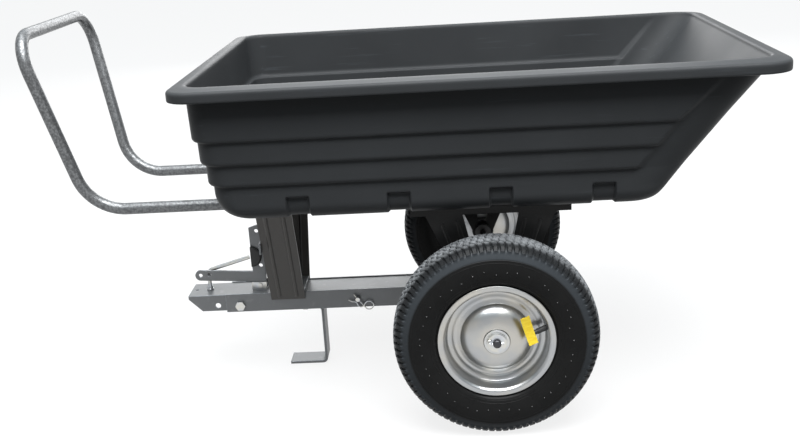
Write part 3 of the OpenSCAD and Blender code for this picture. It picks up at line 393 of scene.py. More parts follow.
def capped(grid):
    """A shell of rings, one in each row of the grid, with a cap on the first ring and on the last."""
    rows, sides = grid.shape[:2]
    end = np.arange(sides)[None, :]
    return shell(grid, grid_faces(rows, sides), end[:, ::-1], end + (rows - 1) * sides)


def closed_ring(grid):
    """A shell that closes both ways, as a section does that is turned once round the axle."""
    return shell(grid, grid_faces(*grid.shape[:2], ring_rows=True))


def make_piece(name, shells, finish, body, nodes=(), sharp=38):
    """Joins shells into one mesh, smooth except at edges over so many degrees, that rides on a body."""
    starts = np.cumsum([0] + [len(points) for points, _ in shells])
    faces = [face for start, (_, blocks) in zip(starts, shells) for block in blocks
             for face in (block + start).tolist()]
    mesh = bpy.data.meshes.new(name)
    mesh.from_pydata(in_cart(np.concatenate([points for points, _ in shells])).tolist(), [], faces)
    mesh.shade_smooth()
    mesh.set_sharp_from_angle(angle=np.radians(sharp))
    mesh.materials.append(finish)
    piece = bpy.data.objects.new(name, mesh)
    scene.collection.objects.link(piece)
    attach(piece, body)
    if nodes:
        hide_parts(*nodes)
    print(name, len(mesh.vertices), "points,", len(mesh.polygons), "faces")


def soften(rows, step, spread, ring=False):
    """Evenly spaced points along a line of rows, then a running average over a bell of that spread."""
    if ring:
        rows = np.vstack([rows, rows[:1]])
    run = np.concatenate([[0], np.cumsum(np.linalg.norm(np.diff(rows[:, :2], axis=0), axis=1))])
    even = np.linspace(0, run[-1], int(run[-1] / step) + 1)[:-1 if ring else None]
    line = np.stack([np.interp(even, run, column) for column in rows.T], -1)
    reach = int(3 * spread / step) + 1
    bell = np.exp(-0.5 * (np.arange(-reach, reach + 1) * step / spread) ** 2)
    padded = np.pad(line, ((reach, reach), (0, 0)), mode="wrap" if ring else "edge")
    return np.stack([np.convolve(column, bell / bell.sum(), mode="valid") for column in padded.T], -1)


def smooth(t):
    """0 to 1 with a flat start and a flat end."""
    t = np.clip(t, 0, 1)
    return t * t * (3 - 2 * t)


print("surface helpers ready")

# %% [markdown]
# ## The tub
# The tub is a thin wall that goes from the load floor up the inside, over the rolled lip and down the outside
# again, so it is one stack of closed outlines. Each outline needs only ten numbers: its height, where its
# front, rear and sides are, how round its corners are, and how deep the cross channels are there. The ten
# numbers are worked out for every level, softened a little so that no step is sharp, and only then turned
# into points. Drawing it as boxes would lose the sloping rear and the steps that die out towards it.

# %% Levels of the tub
FLOOR, LIP, WALL = 246.0, 264.0, 5.0
TUB_FRONT, TUB_REAR, TUB_HALF = 598.0, 555.0, 402.0
LIP_SIDE, LIP_FRONT, LIP_REAR = 37.0, 28.0, 29.0
LIP_ROUND, LIP_REAR_ROUND, FRONT_DRAFT = 50.0, 70.0, 8.0
TOE, SIDE_TOE, REAR_TOE, REAR_RUN = 55.0, 32.0, 42.0, 0.80
STEPS, STEP_IN = np.array([165.0, 118.0, 74.0]), 8.0
ALL_STEPS_IN = len(STEPS) * STEP_IN
FRONT_CORNER, CORNER_MIN, CORNER_SHRINK = 46.0, 8.0, 0.6
REAR_CORNER, REAR_CORNER_LOW = 50.0, 38.0
CHANNEL_DEEP, CHANNEL_RISE, CHANNEL_CLEAR = 11.0, 3.0, 4.0
CHANNEL_X, CHANNEL_W = np.array([-372.0, -176.0, 20.0, 216.0]), 47.0
FADE, KNEE_DROP, CREASE_BACK = 20.0, 70.0, 84.0
LEVEL_STEP, LEVEL_SPREAD = 1.9, 1.1
SLOPE = np.arctan2(1, REAR_RUN)
REAR_FOOT = TUB_REAR - LIP_REAR - REAR_RUN * LIP
REAR_TANGENT = REAR_FOOT - REAR_TOE * np.tan(SLOPE / 2)
CREASE_MIN = CHANNEL_X[3] + CHANNEL_W / 2 + CHANNEL_CLEAR + FADE


def rear_crease(h):
    """Where the side wall starts to turn round to the rear: it keeps its distance from the sloping rear."""
    knee = LIP - KNEE_DROP
    low = np.maximum(CREASE_MIN, REAR_FOOT - CREASE_BACK + REAR_RUN * np.minimum(h, knee))
    return low + (TUB_REAR - LIP_REAR - LIP_REAR_ROUND - low) * np.clip((h - knee) / (LIP - knee), 0, 1)


def toe_run(h, off, radius):
    """How far an arc of that radius takes the wall in at a height, for a surface that lies off inside it."""
    arc = radius - np.sqrt(np.maximum(0, (radius - off) ** 2 - (radius - np.minimum(h, radius)) ** 2))
    return np.where(h >= radius, off, arc)


def wall_rows(h, inset, off, dent_in=0.0, dent_up=0.0):
    """Ten numbers of each wall level: the wall runs in round the toe's arc, and by its step's inset."""
    h, inset = np.broadcast_arrays(np.asarray(h, float), np.asarray(inset, float))
    run = toe_run(h, off, SIDE_TOE)
    fillet = REAR_TANGENT + np.sqrt(np.maximum(0, (REAR_TOE - off) ** 2 - (REAR_TOE - h) ** 2))
    rear = np.where(h < REAR_TOE - (REAR_TOE - off) * np.cos(SLOPE), fillet,
                    REAR_FOOT + REAR_RUN * h - off / np.sin(SLOPE))
    front = LIP_FRONT - TUB_FRONT + FRONT_DRAFT * (1 - h / LIP) + toe_run(h, off, TOE)
    side = TUB_HALF - LIP_SIDE - run
    plain = ALL_STEPS_IN * np.clip((LIP - h) / (LIP - STEPS[2]), 0, 1)
    corner = np.maximum(CORNER_MIN, FRONT_CORNER - CORNER_SHRINK * run)
    rear_in = REAR_CORNER_LOW + (REAR_CORNER - REAR_CORNER_LOW) * np.clip(h / LIP, 0, 1)
    return np.stack([side - inset, FLOOR + h, front + inset, rear, side - plain, corner, rear_crease(h),
                     rear_in, dent_in + 0 * h, dent_up + 0 * h], -1)


def toe_rows(off):
    """The toe: a quarter turn from the floor's edge up to the wall; the channel's depth turns with it."""
    turn = np.radians(np.concatenate([np.linspace(90, 62, 15), np.linspace(60, 0, 25)]))
    cut = smooth((np.degrees(turn) - 7) / 6)
    return wall_rows(TOE - (TOE - off) * np.sin(turn), ALL_STEPS_IN, off,
                     cut * CHANNEL_DEEP * np.sqrt(np.cos(turn)), cut * CHANNEL_RISE * np.sin(turn))


def step_rows(off):
    """Three steps, from the lip down: a slight draft and then a ledge."""
    drop = np.array([5.0, 0.0, -1.5])
    inset = np.array([0.0, 2.0, STEP_IN])
    levels = STEPS[:, None] + drop + off
    insets = np.arange(len(STEPS))[:, None] * STEP_IN + inset
    return wall_rows(levels.ravel(), insets.ravel(), off)


def lip_rows(inward, height):
    """The rolled lip: each level is an outline drawn in from the lip's edge."""
    inward, height = np.asarray(inward, float), np.asarray(height, float)
    t = inward / LIP_SIDE
    corner = LIP_ROUND + (FRONT_CORNER - LIP_ROUND) * np.clip(t, 0, 1)
    rear_in = LIP_REAR_ROUND + (REAR_CORNER - LIP_REAR_ROUND) * np.clip(t, 0, 1)
    crease = TUB_REAR - LIP_REAR_ROUND - LIP_REAR * t
    return np.stack([TUB_HALF - inward, FLOOR + height, -TUB_FRONT + LIP_FRONT * t, TUB_REAR - LIP_REAR * t,
                     TUB_HALF - inward, corner, crease, rear_in, 0 * t, 0 * t], -1)


# Each level of the lip: how far in from its edge, and how high above the floor.
lip_in = [42, 40.5, 36, 27, 4, 0.8, 0, 0, 1, 4, 5, 5.5, 8, 33, 37]
lip_up = [267, 272, 274, 273.2, 270, 267.5, 264, 250.5, 249, 249, 250.5, 261, 264, 264, 260]
inside = [toe_rows(WALL), step_rows(WALL)[::-1]]
outside = [step_rows(0.0), toe_rows(0.0)[::-1]]
tub_rows = np.concatenate([*inside, lip_rows(lip_in, lip_up), *outside])
tub_rows = soften(tub_rows, LEVEL_STEP, LEVEL_SPREAD)
print("tub levels", tub_rows.shape)

# %% [markdown]
# An outline is drawn for the near half only and mirrored to the far half. Every level has as many points, in
# the same order, so the columns of the grid run up the wall, and they crowd at the flanks of the channels,
# where the wall turns most. The two ends of the stack, the floor's upper and lower side, are closed by strips
# from each near point to its far twin.

# %% Skin of the tub
CHANNEL_OPEN, FLANK, REAR_SQUARE = CHANNEL_W / 2 + 0.5, 5.5, 0.86


def tub_outline(rows):
    """One closed outline per level: front corner, side with channels, fade of the steps, rear corner, and
    the same mirrored. A corner is a cosine and a sine; the rear one has them to a power, which squares it."""
    side, z, front, rear, plain, corner, crease, rear_in, dent_in, dent_up = (
        column[:, None] for column in rows.T)
    a = np.radians(np.linspace(0, 90, 15))[None, :]
    edge = CHANNEL_W / 2 - np.linspace(-2.5, 6.5, 9)
    along = (CHANNEL_X[:, None] + np.concatenate([-edge, [0], edge[::-1]])).ravel()
    depth = smooth((CHANNEL_OPEN - np.abs(along[:, None] - CHANNEL_X).min(axis=1)) / FLANK)[None, :]
    t = np.linspace(0, 1, 9)[None, :-1]
    b = np.radians(np.linspace(0, 90, 19))[None, :]
    round_in, round_on = np.cos(b).clip(0) ** REAR_SQUARE, np.sin(b) ** REAR_SQUARE
    x = [front + corner * (1 - np.cos(a)), along[None, :] + 0 * z, crease - FADE * (1 - t),
         crease + (rear - crease) * round_on]
    y = [corner * (1 - np.sin(a)) - side, dent_in * depth - side, -side + (side - plain) * smooth(t),
         rear_in * (1 - round_in) - plain]
    up = [z + 0 * a, z + dent_up * depth, z + 0 * t, z + 0 * b]
    half = np.stack([np.concatenate(part, axis=1) for part in (x, y, up)], -1)
    return np.concatenate([half, half[:, ::-1] * [1, -1, 1]], axis=1)


def closed_across(rows, cols):
    """Faces that close the first and the last outline by joining each near point to its far twin."""
    i = np.arange(cols // 2 - 1)
    floor = np.stack([i, i + 1, cols - 2 - i, cols - 1 - i], -1)
    return floor[:, ::-1], floor + (rows - 1) * cols


tub_grid = tub_outline(tub_rows)
tub_size = tub_grid.shape[:2]
tub_shell = shell(tub_grid, grid_faces(*tub_size), *closed_across(*tub_size))
make_piece("tub_moulding", [tub_shell], tub_finish, "tub", ["tub"])

# %% [markdown]
# ## The handle and other bent rods
# A tube is a circle carried along a path. The circle needs two directions square to the path; taking them
# from one fixed direction that the path never follows keeps the tube free of twist, and needs no loop.


# %% Rods along a path
def rod(path, radius, sides, across):
    """Rings round a path: cos times one square direction plus sin times the other, capped at the ends."""
    path = np.asarray(path, float)
    ahead = np.gradient(path, axis=0)
    ahead /= np.linalg.norm(ahead, axis=1)[:, None]
    first = across - (ahead @ across)[:, None] * ahead
    first /= np.linalg.norm(first, axis=1)[:, None]
    second = np.cross(ahead, first)
    a = np.linspace(0, 2 * np.pi, sides, endpoint=False)[None, :, None]
    size = np.broadcast_to(radius, len(path))[:, None, None]
    grid = path[:, None] + size * (np.cos(a) * first[:, None] + np.sin(a) * second[:, None])
    return capped(grid)


def flat_path(steps, grain=1.5):
    """Points of a flat path made of straight runs (length, 0) and bends (radius, degrees)."""
    here, aim, runs = np.zeros(2), 0.0, [np.zeros((1, 2))]
    for size, turn in steps:
        span = size if turn == 0 else size * abs(np.radians(turn))
        t = np.linspace(0, 1, max(3, int(span / grain)))[1:]
        if turn == 0:
            run = here + t[:, None] * size * np.array([np.cos(aim), np.sin(aim)])
        else:
            side = np.sign(turn)
            hub = here + side * size * np.array([-np.sin(aim), np.cos(aim)])
            a = aim + np.radians(turn) * t
            run = hub + side * size * np.stack([np.sin(a), -np.cos(a)], -1)
            aim += np.radians(turn)
        here = run[-1]
        runs.append(run)
    return np.concatenate(runs)


print("rod helpers ready")

# %% [markdown]
# The handle's near half is a rail, a bend and a leaning leg in one flat path, and then a corner into the
# grip. The legs spread towards the grip, so each point is moved out by its share of the rise. The far half is
# the same path mirrored and walked backwards, which makes one tube without a seam.

# %% Handle
RAIL_Y, RAIL_Z, RAIL_END, TUBE_R = 157.0, 233.3, 30.0, 12.5
LEAN, LOW_BEND, GRIP_BEND, CORNER_X = 12.0, 95.0, 75.0, 842.0
GRIP_RISE, FLARE = 377.0, 69.0
low_cut = LOW_BEND * np.tan(np.radians(90 - LEAN) / 2)
leg_len = GRIP_RISE / np.cos(np.radians(LEAN))
rail_len = CORNER_X - RAIL_END - low_cut
flat = flat_path([(rail_len, 0), (LOW_BEND, -(90 - LEAN)), (leg_len - low_cut - GRIP_BEND, 0)], 4.0)
near_side = np.stack([-RAIL_END - flat[:, 0], 0 * flat[:, 0] - RAIL_Y, RAIL_Z - flat[:, 1]], -1)
bend = np.radians(np.linspace(0, 90, 31))[1:, None]
up_leg = np.array([-np.sin(np.radians(LEAN)), 0, np.cos(np.radians(LEAN))])
grip_corner = near_side[-1] + GRIP_BEND * (np.sin(bend) * up_leg + (1 - np.cos(bend)) * [0, 1, 0])
handle_half = np.concatenate([near_side, grip_corner])
handle_half[:, 1] -= FLARE * (handle_half[:, 2] - RAIL_Z) / GRIP_RISE
grip = handle_half[-1] + np.linspace(0, 1, 40)[1:-1, None] * [0, -2 * handle_half[-1, 1], 0]
handle_path = np.concatenate([handle_half, grip, handle_half[::-1] * [1, -1, 1]])
handle_rod = rod(handle_path, TUBE_R, 36, np.array([0.93, 0, 0.37]))
make_piece("handle_tube", [handle_rod], handle_finish, "tub", ["handle"])

# %% [markdown]
# ## The wheels
# A tyre is a section turned about the axle, and its tread is a height that depends on two things only: the
# angle round the wheel and the distance across the tread. So the tread is one formula on the whole grid. It
# is a small block pattern: zigzag grooves round the tyre, cross grooves staggered from row to row, and round
# ended lugs that run over the shoulder and die out on the sidewall.

# %% Tyre section
WHEEL_R, WHEEL_Y, BEAD_R, BEAD_HALF, FLANGE_R, TYRE_HALF = 203.0, 360.0, 104.0, 37.0, 116.0, 51.0
BELLY_R = BEAD_R + 0.53 * (WHEEL_R - BEAD_R)
CROWN_SQUARE, CASING = 0.72, 6.0
SECTION_STEP, SECTION_SPREAD = 2.6, 0.8


def tyre_half(grow):
    """From the crown out: a squarish arc over the shoulder, an ellipse down the sidewall, then the bead."""
    a = np.radians(np.linspace(0, 90, 60))
    crown = np.stack([BELLY_R + (WHEEL_R - BELLY_R + grow) * np.cos(a).clip(0) ** CROWN_SQUARE,
                      (TYRE_HALF + grow) * np.sin(a) ** CROWN_SQUARE], -1)
    wall = np.stack([BELLY_R - (BELLY_R - FLANGE_R - 1.5) * np.sin(a),
                     BEAD_HALF + grow + (TYRE_HALF - BEAD_HALF) * np.cos(a)], -1)[1:]
    bead = [[BEAD_R + 4, BEAD_HALF + grow], [BEAD_R, BEAD_HALF + grow - 4]]
    return np.concatenate([crown, wall, bead])


half = tyre_half(0.0)
outer = soften(np.concatenate([half[:0:-1] * [1, -1], half]), SECTION_STEP, SECTION_SPREAD)
half = tyre_half(-CASING)[::12]
inner = np.concatenate([half, half[:0:-1] * [1, -1]])
across_tread = np.cumsum(np.linalg.norm(np.diff(outer, axis=0, prepend=outer[:1]), axis=1))
across_tread -= across_tread[np.argmax(outer[:, 0])]
print("tyre section", outer.shape, "half girth", across_tread.max().round(1))

# %% [markdown]
# The depth of the tread is made from soft switches between 0 and 1. Distances across are along the rubber
# from the middle of the tread, and the angle is counted in lugs, so that a whole number of them goes round
# and the pattern closes. Multiplying switches keeps a block only where every groove leaves it standing.

# %% Tread and tyre
LUGS, POINTS_PER_LUG = 90, 8
GROOVES, ZIG, SLANT, SLANT_END = (8.0, 23.0), 2.2, 0.02, 38
SHOULDER, LUG_END, TREAD_END = 35, 54, 70
DEEP, LESS_DEEP, LESS_FROM = 4.5, 2.3, 34


def tread_depth(angle, across):
    """Depth below the outer form: zigzag and cross grooves on the crown, gaps between the shoulder lugs."""
    turn = angle * LUGS / (2 * np.pi)
    away = np.abs(across)
    zigzag = 2 * np.abs(2 * (turn % 1) - 1) - 1
    grooves = np.min([np.abs(away - place - ZIG * zigzag) for place in GROOVES], axis=0)
    row = sum((away > place + ZIG * zigzag) * 1.0 for place in GROOVES)
    gap = np.abs((turn + 0.5 * row + SLANT * across) % 1 - 0.5)
    block = smooth((grooves - 1.0) / 1.3) * smooth((gap - 0.08) / 0.09)
    finger = smooth((np.abs((turn + SLANT * SLANT_END * np.sign(across)) % 1 - 0.5) - 0.13) / 0.10)
    finger = finger * smooth((LUG_END - away) / 4)
    shoulder = smooth((away - SHOULDER) / 5)
    lug = block * (1 - shoulder) + finger * shoulder
    depth = DEEP - LESS_DEEP * smooth((away - LESS_FROM) / 24)
    return depth * smooth((TREAD_END - away) / 14) * (1 - lug)


def turned_about_axle(section, angles, side):
    """A section of [radius, distance outwards], swept round the axle on the near (-1) or far (1) side."""
    radius, out = section[..., 0], section[..., 1]
    return np.stack([radius * np.cos(angles), side * (WHEEL_Y + out), radius * np.sin(angles)], -1)


angles = np.linspace(0, 2 * np.pi, LUGS * POINTS_PER_LUG, endpoint=False)
heading = np.gradient(outer, axis=0)
outward = np.stack([heading[:, 1], -heading[:, 0]], -1) / np.linalg.norm(heading, axis=1)[:, None]
outward *= np.sign(outward[np.argmax(outer[:, 0]), 0])
cut = tread_depth(angles[None, :], across_tread[:, None])
section = np.concatenate([outer[:, None] - cut[..., None] * outward[:, None],
                          np.broadcast_to(inner[:, None], (len(inner), len(angles), 2))])
for name, side in (("near", -1), ("far", 1)):
    points = turned_about_axle(section, angles[None, :], side)
    make_piece("tyre_tread_" + name, [closed_ring(points)], tyre_finish, "wheel_" + name,
               ["tyre_" + name])

# %% [markdown]
# Where the mould vents its air, rubber squeezes into the tiny holes and leaves short whiskers. They are a few
# dozen small cones round each outer sidewall, so one cone's profile is set on all their feet at once, by
# broadcasting.

# %% Vent whiskers
WHISKERS, WHISKER_R, WHISKER_SIDES = 40, 146, 6
WHISKER = np.array([[0.9, -0.6], [0.8, 1.2], [0.35, 2.4]])
rng = np.random.default_rng(7)


def whisker_cones(feet, around, side):
    """Grids of small cones: a profile of [radius, height] turned about each foot, which is then turned
    about the axle by its own angle."""
    a = np.linspace(0, 2 * np.pi, WHISKER_SIDES, endpoint=False)
    wide, tall = WHISKER[:, :1], WHISKER[:, 1:]
    turn = around[:, None, None]
    up = feet[:, 0, None, None] + wide * np.cos(a)
    out = 0 * a + feet[:, 1, None, None] + tall
    along = wide * np.sin(a)
    return np.stack([up * np.cos(turn) - along * np.sin(turn), side * (WHEEL_Y + out),
                     up * np.sin(turn) + along * np.cos(turn)], -1)


for name, side in (("near", -1), ("far", 1)):
    around = (np.arange(WHISKERS) + rng.uniform(-0.3, 0.3, WHISKERS)) * 2 * np.pi / WHISKERS
    radius = WHISKER_R + rng.choice([-5.0, 0.0, 4.0], WHISKERS)
    row = np.argmin(np.abs(outer[:, 0][:, None] - radius) + 1e3 * (outer[:, 1][:, None] < 0), axis=0)
    cones = [capped(cone) for cone in whisker_cones(outer[row], around, side)]
    make_piece("tyre_whiskers_" + name, cones, whisker_finish, "wheel_" + name)

# %% [markdown]
# Each rim is two pressed halves. A half is one outline: up the barrel, over the rolled flange, down the dish,
# and over the dome to the hub. A press leaves no sharp corners, so the outline is softened before it is
# turned, which is what gives the rim its soft rings of light.


# %% Rims
def rim_outline():
    """The CAD outline of a pressed half: barrel, flange, dish and an elliptic dome up to the hub."""
    t, out, seat, hub = 2.5, 41.0, 103.8, 25.0
    a = np.radians(np.linspace(0, 90, 40))
    dome = np.stack([hub + 0.2 + (69 - hub) * np.cos(a), 12 + (out - 12 - t - 2) * np.sin(a) ** 1.1], -1)
    disc = np.concatenate([[[88, 7], [83, 9], [78, 9]], dome])
    barrel = [[seat - 6, 0.2], [seat - 6, 8], [seat - 3, 12], [seat, out - t - 4], [seat + 3, out - t - 1],
              [FLANGE_R - 0.5, out - t], [FLANGE_R, out - 1.2], [FLANGE_R - 1.5, out], [seat + 2, out - 0.6],
              [seat - t, out - t - 3], [seat - 3 - t, 13], [seat - 6 - t, 7 + t]]
    back = [[seat - 6 - t, 7], [seat - 6 - t, 0.2]]
    return np.concatenate([barrel, disc + [0, t], disc[::-1], back])


rim_section = soften(rim_outline(), 1.0, 1.4, ring=True)
spin = np.linspace(0, 2 * np.pi, 128, endpoint=False)
for name, side in (("near", -1), ("far", 1)):
    for half_name, face in (("outer", 1), ("inner", -1)):
        section = np.broadcast_to(rim_section[:, None] * [1, face], (len(rim_section), len(spin), 2))
        points = turned_about_axle(section, spin[None, :], side)
        make_piece(f"rim_{half_name}_turned_{name}", [closed_ring(points)], rim_finish, "wheel_" + name,
                   [f"rim_{half_name}_{name}"])

# %% [markdown]
# ## Latch spring, clip and hitch pin
# These are bent rods too. The spring is a helix round the pivot with a foot and a leg. Its pitch and its
# start are taken from the CAD spring's own box, so that it always fills the gap beside the latch.

# %% Latch spring
PIVOT = np.array([-527.0, 0.0, -5.9])
SPRING_R, WIRE_R, CURLS = 5.4, 1.0, 4


def spring_path(pitch, start):
    """A foot straight up to the helix, so many curls round the pivot while it moves across, then a leg up."""
    a = np.linspace(0, 2 * np.pi * CURLS, 40 * CURLS + 1)
    helix = np.stack([SPRING_R * np.cos(a), start - pitch * a / (2 * np.pi), SPRING_R * np.sin(a)], -1)
    foot = helix[0] - np.linspace(6.2, 0.4, 10)[:, None] * [0, 0, 1]
    leg = helix[-1] + np.linspace(0.4, 16, 20)[:, None] * [0, 0, 1]
    return np.concatenate([foot, helix, leg])


low, high = (np.array(corner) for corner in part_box("latch_spring"))
spring_top = (high[1] - AXLE[1]) * 1000 - WIRE_R
spring_pitch = ((high[1] - low[1]) * 1000 - 2 * WIRE_R) / CURLS
coil = rod(PIVOT + spring_path(spring_pitch, spring_top), WIRE_R, 12, np.array([0.0, 1.0, 0.02]))
make_piece("latch_coil", [coil], wire_finish, "chassis", ["latch_spring"])

# %% [markdown]
# The clip is a flat path of straights and bends, tilted as it hangs on its pin. The hitch pin is a shank
# turned on a lathe, softened like the rims, with a thinner rod that is bent back to a grip.

# %% Retaining clip and hitch pin
CLIP_AT, CLIP_IN, CLIP_R = [-299.0, -50.2, -36.5], 14, 1.3
PIN_R, PIN_FOOT, PIN_SEAT = 4.5, np.array([-646.0, 0.0, -17.3]), 6
ACROSS = np.array([0.0, 1.0, 0.0])
clip_flat = flat_path([(42, 0), (10, 290), (6, 0), (8, -80), (8, -55), (9, 80), (10, -35), (6, 0)], 1.0)
tilt = np.radians(-37 + 90)
along, aside = clip_flat[:, 0] - CLIP_IN, clip_flat[:, 1]
clip_path = np.stack([along * np.cos(tilt) + aside * np.sin(tilt), 0 * along,
                      aside * np.cos(tilt) - along * np.sin(tilt)], -1) + CLIP_AT
make_piece("clip_wire", [rod(clip_path, CLIP_R, 14, ACROSS)], zinc_finish, "chassis", ["r_clip"])


def turned_up(profile, sides, foot):
    """A profile of [radius, height] turned about an upright line, capped at both ends."""
    profile = np.asarray(profile, float)
    a = np.linspace(0, 2 * np.pi, sides, endpoint=False)
    wide, tall = profile[:, :1], profile[:, 1:]
    return capped(np.stack([wide * np.cos(a), wide * np.sin(a), tall + 0 * a], -1) + foot)


shank = soften(np.array([[0.6, -50.0], [2.9, -50.0], [5.9, -42.0], [5.9, -8.0], [6.3, -7.0], [6.3, 0.0],
                         [7.8, 0.0], [7.8, 4.0], [6.3, 4.0], [6.3, 8.0], [5.2, 11.0], [1.0, 11.0]]), 0.6, 0.5)
pin_flat = flat_path([(31, 0), (14, -74), (92, 0)], 2.0)
pin_path = np.stack([-pin_flat[:, 1], 0 * pin_flat[:, 0], pin_flat[:, 0] + PIN_SEAT], -1) + PIN_FOOT
pin_shells = [turned_up(shank, 32, PIN_FOOT), rod(pin_path, PIN_R, 24, ACROSS)]
make_piece("hitch_pin_rod", pin_shells, zinc_finish, "hitch", ["hitch_pin"])

# %% [markdown]
# ## The valve tag
# A blank strip of yellow film is folded round the valve. Film never lies flat, so its long side is bowed a
# little, and its two ends stand off more than its middle.

# %% Yellow tag
VALVE_LEAN, VALVE_TURN, VALVE_REACH, VALVE_OUT = np.radians(26 - 90), np.radians(12), 101.8, 24
TAG_ENDS, TAG_ROWS, TAG_AT, TAG_WIDE, TAG_THICK = (-19, 41), 25, 32, 20, 0.5
TAG_OFF, TAG_BOW, TAG_MIDDLE, TAG_BOW_RUN, TAG_ASKEW = 5.0, 2.6, 8, 36, 0.09


def on_valve(points):
    """From the valve's own axes to the cart: lean, reach out to the rim, turn round the axle, near wheel."""
    x, y, z = points[..., 0], points[..., 1], points[..., 2]
    out_x = x * np.cos(VALVE_LEAN) + z * np.sin(VALVE_LEAN) + VALVE_REACH
    out_z = z * np.cos(VALVE_LEAN) - x * np.sin(VALVE_LEAN) + VALVE_OUT
    return np.stack([out_x * np.cos(VALVE_TURN) - y * np.sin(VALVE_TURN), -(WHEEL_Y + out_z),
                     out_x * np.sin(VALVE_TURN) + y * np.cos(VALVE_TURN)], -1)


def tag_grid():
    """A thin strip as rings of six points: its bow is a parabola along its length, and it lies askew."""
    y = np.linspace(*TAG_ENDS, TAG_ROWS)[:, None]
    bow = TAG_OFF + TAG_BOW * ((y - TAG_MIDDLE) / TAG_BOW_RUN) ** 2
    x = bow + TAG_THICK * np.array([0.0, 0.0, 0.0, 1.0, 1.0, 1.0])
    z = TAG_AT + TAG_WIDE * np.array([0.0, 0.5, 1.0, 1.0, 0.5, 0.0]) + TAG_ASKEW * y
    return np.stack([x, y + 0 * x, z], -1)


make_piece("tag_film", [capped(on_valve(tag_grid()))], film_finish, "wheel_near", ["valve_tag"])

# %% [markdown]
# ## Pieces that stay as CAD
# Plates, bolts, the axle and the brackets already have their true shape, so they keep their CAD meshes and
# only take a finish. Their edges are rounded in the shading by the Bevel node.

# %% Dress the CAD pieces
dressed = {
    frame_finish: ["draw_bar", "tongue", "axle_seat", "axle_cap", "axle_spacers", "stand_leg", "strut_saddle",
                   "latch_striker", "latch_lever"],
    strut_finish: ["strut_near", "strut_far"],
    bracket_finish: ["axle_bracket_near", "axle_bracket_far"],
    zinc_finish: ["tongue_bolt", "tongue_nut", "clevis_pin", "axle_cap_bolts", "axle_cap_nuts",
                  "axle_washers", "cotter_pins", "stand_bolts", "stand_nuts", "latch_bracket",
                  "latch_bracket_bolts", "latch_pivot_pin", "handle_bolts", "handle_nuts", "bracket_bolts",
                  "bracket_nuts"],
    axle_finish: ["axle"],
    hub_finish: ["hub_near", "hub_far", "hub_bearings_near", "hub_bearings_far"],
    plug_finish: ["handle_plugs", "bracket_bushes", "valve_cap_near", "valve_cap_far"],
    rubber_finish: ["latch_bumper", "inner_tube_near", "inner_tube_far", "valve_stem_near", "valve_stem_far"],
}
for finish, nodes in dressed.items():
    for node in nodes:
        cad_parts[node].data.materials.clear()
        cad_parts[node].data.materials.append(finish)
print("dressed", sum(len(nodes) for nodes in dressed.values()), "CAD pieces in", len(dressed), "finishes")

# %% [markdown]
# ## The studio
# The photograph is a white cut-out. A large pale floor that is partly lit by itself, for the camera and for
# reflections only, comes out white and still keeps the cart's shadow. Its four far edges are raised into
# walls, so that a low view ends on the same white.

# %% Floor
FLOOR_HALF, WALL_UP, FLOOR_DROP, SELF_LIT = 60.0, 25.0, 0.0005, 0.82
floor_mesh = bpy.data.meshes.new("floor")
corners = FLOOR_HALF * np.array([(-1, -1), (1, -1), (1, 1), (-1, 1)])
floor_points = np.concatenate([np.insert(corners, 2, level, axis=1) for level in (-FLOOR_DROP, WALL_UP)])
corner = np.arange(4)
floor_walls = np.stack([corner, (corner + 1) % 4, (corner + 1) % 4 + 4, corner + 4], -1)
floor_mesh.from_pydata(floor_points.tolist(), [], [[0, 1, 2, 3]] + floor_walls.tolist())
floor = bpy.data.objects.new("floor", floor_mesh)
scene.collection.objects.link(floor)
pale = Finish("pale_floor")
path = pale.node("ShaderNodeLightPath", out="Is Camera Ray")
shiny = path.math("MAXIMUM", path.output("Is Glossy Ray"), path.output("Is Transmission Ray"))
seen = path.math("MAXIMUM", path, shiny)
pale.done(Base_Color=pale.mix(seen, grey(0.07), grey(0.90)), Roughness=0.9)
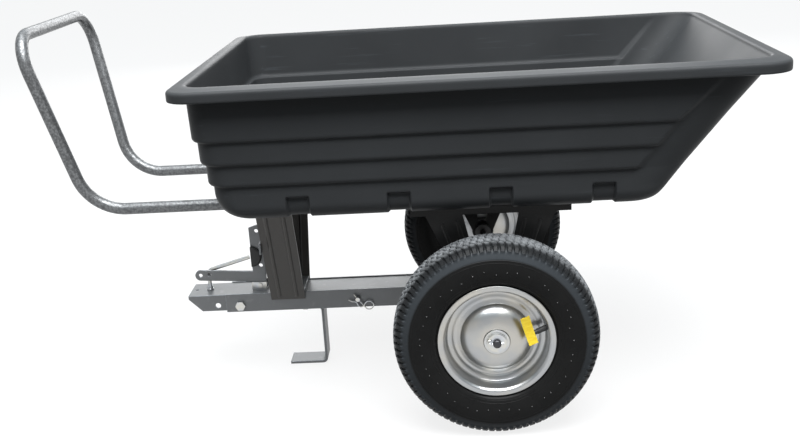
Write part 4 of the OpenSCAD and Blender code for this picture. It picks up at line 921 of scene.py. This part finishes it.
glow = pale.node("ShaderNodeEmission", {}, {"Color": grey(1.0), "Strength": 1.0})
surface = Value(pale, pale.shader.outputs[0])
both = pale.node("ShaderNodeMixShader", {}, {0: seen * SELF_LIT, 1: surface, 2: glow})
pale.fill(pale.tree.nodes["Material Output"], {"Surface": both})
floor_mesh.materials.append(pale.material)
print("floor", 2 * FLOOR_HALF, "m wide, walls", WALL_UP, "m high")

# %% [markdown]
# Soft light shows a moulded tub best: it draws long, wide highlights on the lip and the steps. The world
# gives a pale sky over a dark horizon, and three square lamps add to it: a broad one above, the strongest at
# the front, and one behind that lights the far edge of the lip.

# %% World and lamps
world = bpy.data.worlds.new("studio")
world.use_nodes = True
sky = world.node_tree
ramp = sky.nodes.new("ShaderNodeValToRGB")
ramp.color_ramp.elements[0].position, ramp.color_ramp.elements[0].color = 0.05, (0.10, 0.10, 0.11, 1)
ramp.color_ramp.elements[1].position, ramp.color_ramp.elements[1].color = 0.75, (0.86, 0.95, 1.0, 1)
height = sky.nodes.new("ShaderNodeSeparateXYZ")
sky.links.new(sky.nodes.new("ShaderNodeTexCoord").outputs["Generated"], height.inputs[0])
sky.links.new(height.outputs["Z"], ramp.inputs[0])
sky.links.new(ramp.outputs[0], sky.nodes["Background"].inputs["Color"])
sky.nodes["Background"].inputs["Strength"].default_value = 0.9
scene.world = world


def lamp(name, place, aim, size, watts):
    """A square soft lamp at a place, turned to a point."""
    light = bpy.data.objects.new(name, bpy.data.lights.new(name, "AREA"))
    light.data.size, light.data.energy = size, watts
    back = np.array(place, float) - aim
    back /= np.linalg.norm(back)
    right = np.cross([0, 1, 0.01], back)
    light.matrix_world = camera_matrix(place, right, -np.cross(back, right))
    scene.collection.objects.link(light)


lamp("top_lamp", [-0.3, -0.2, 3.4], [0, 0, 0.4], size=3.0, watts=70)
lamp("front_lamp", [0.2, -1.05, 2.9], [0, 0.2, 0.5], size=2.4, watts=180)
lamp("back_lamp", [0.0, 4.2, 2.1], [0, 0, 0.6], size=3.2, watts=90)
print("studio ready")
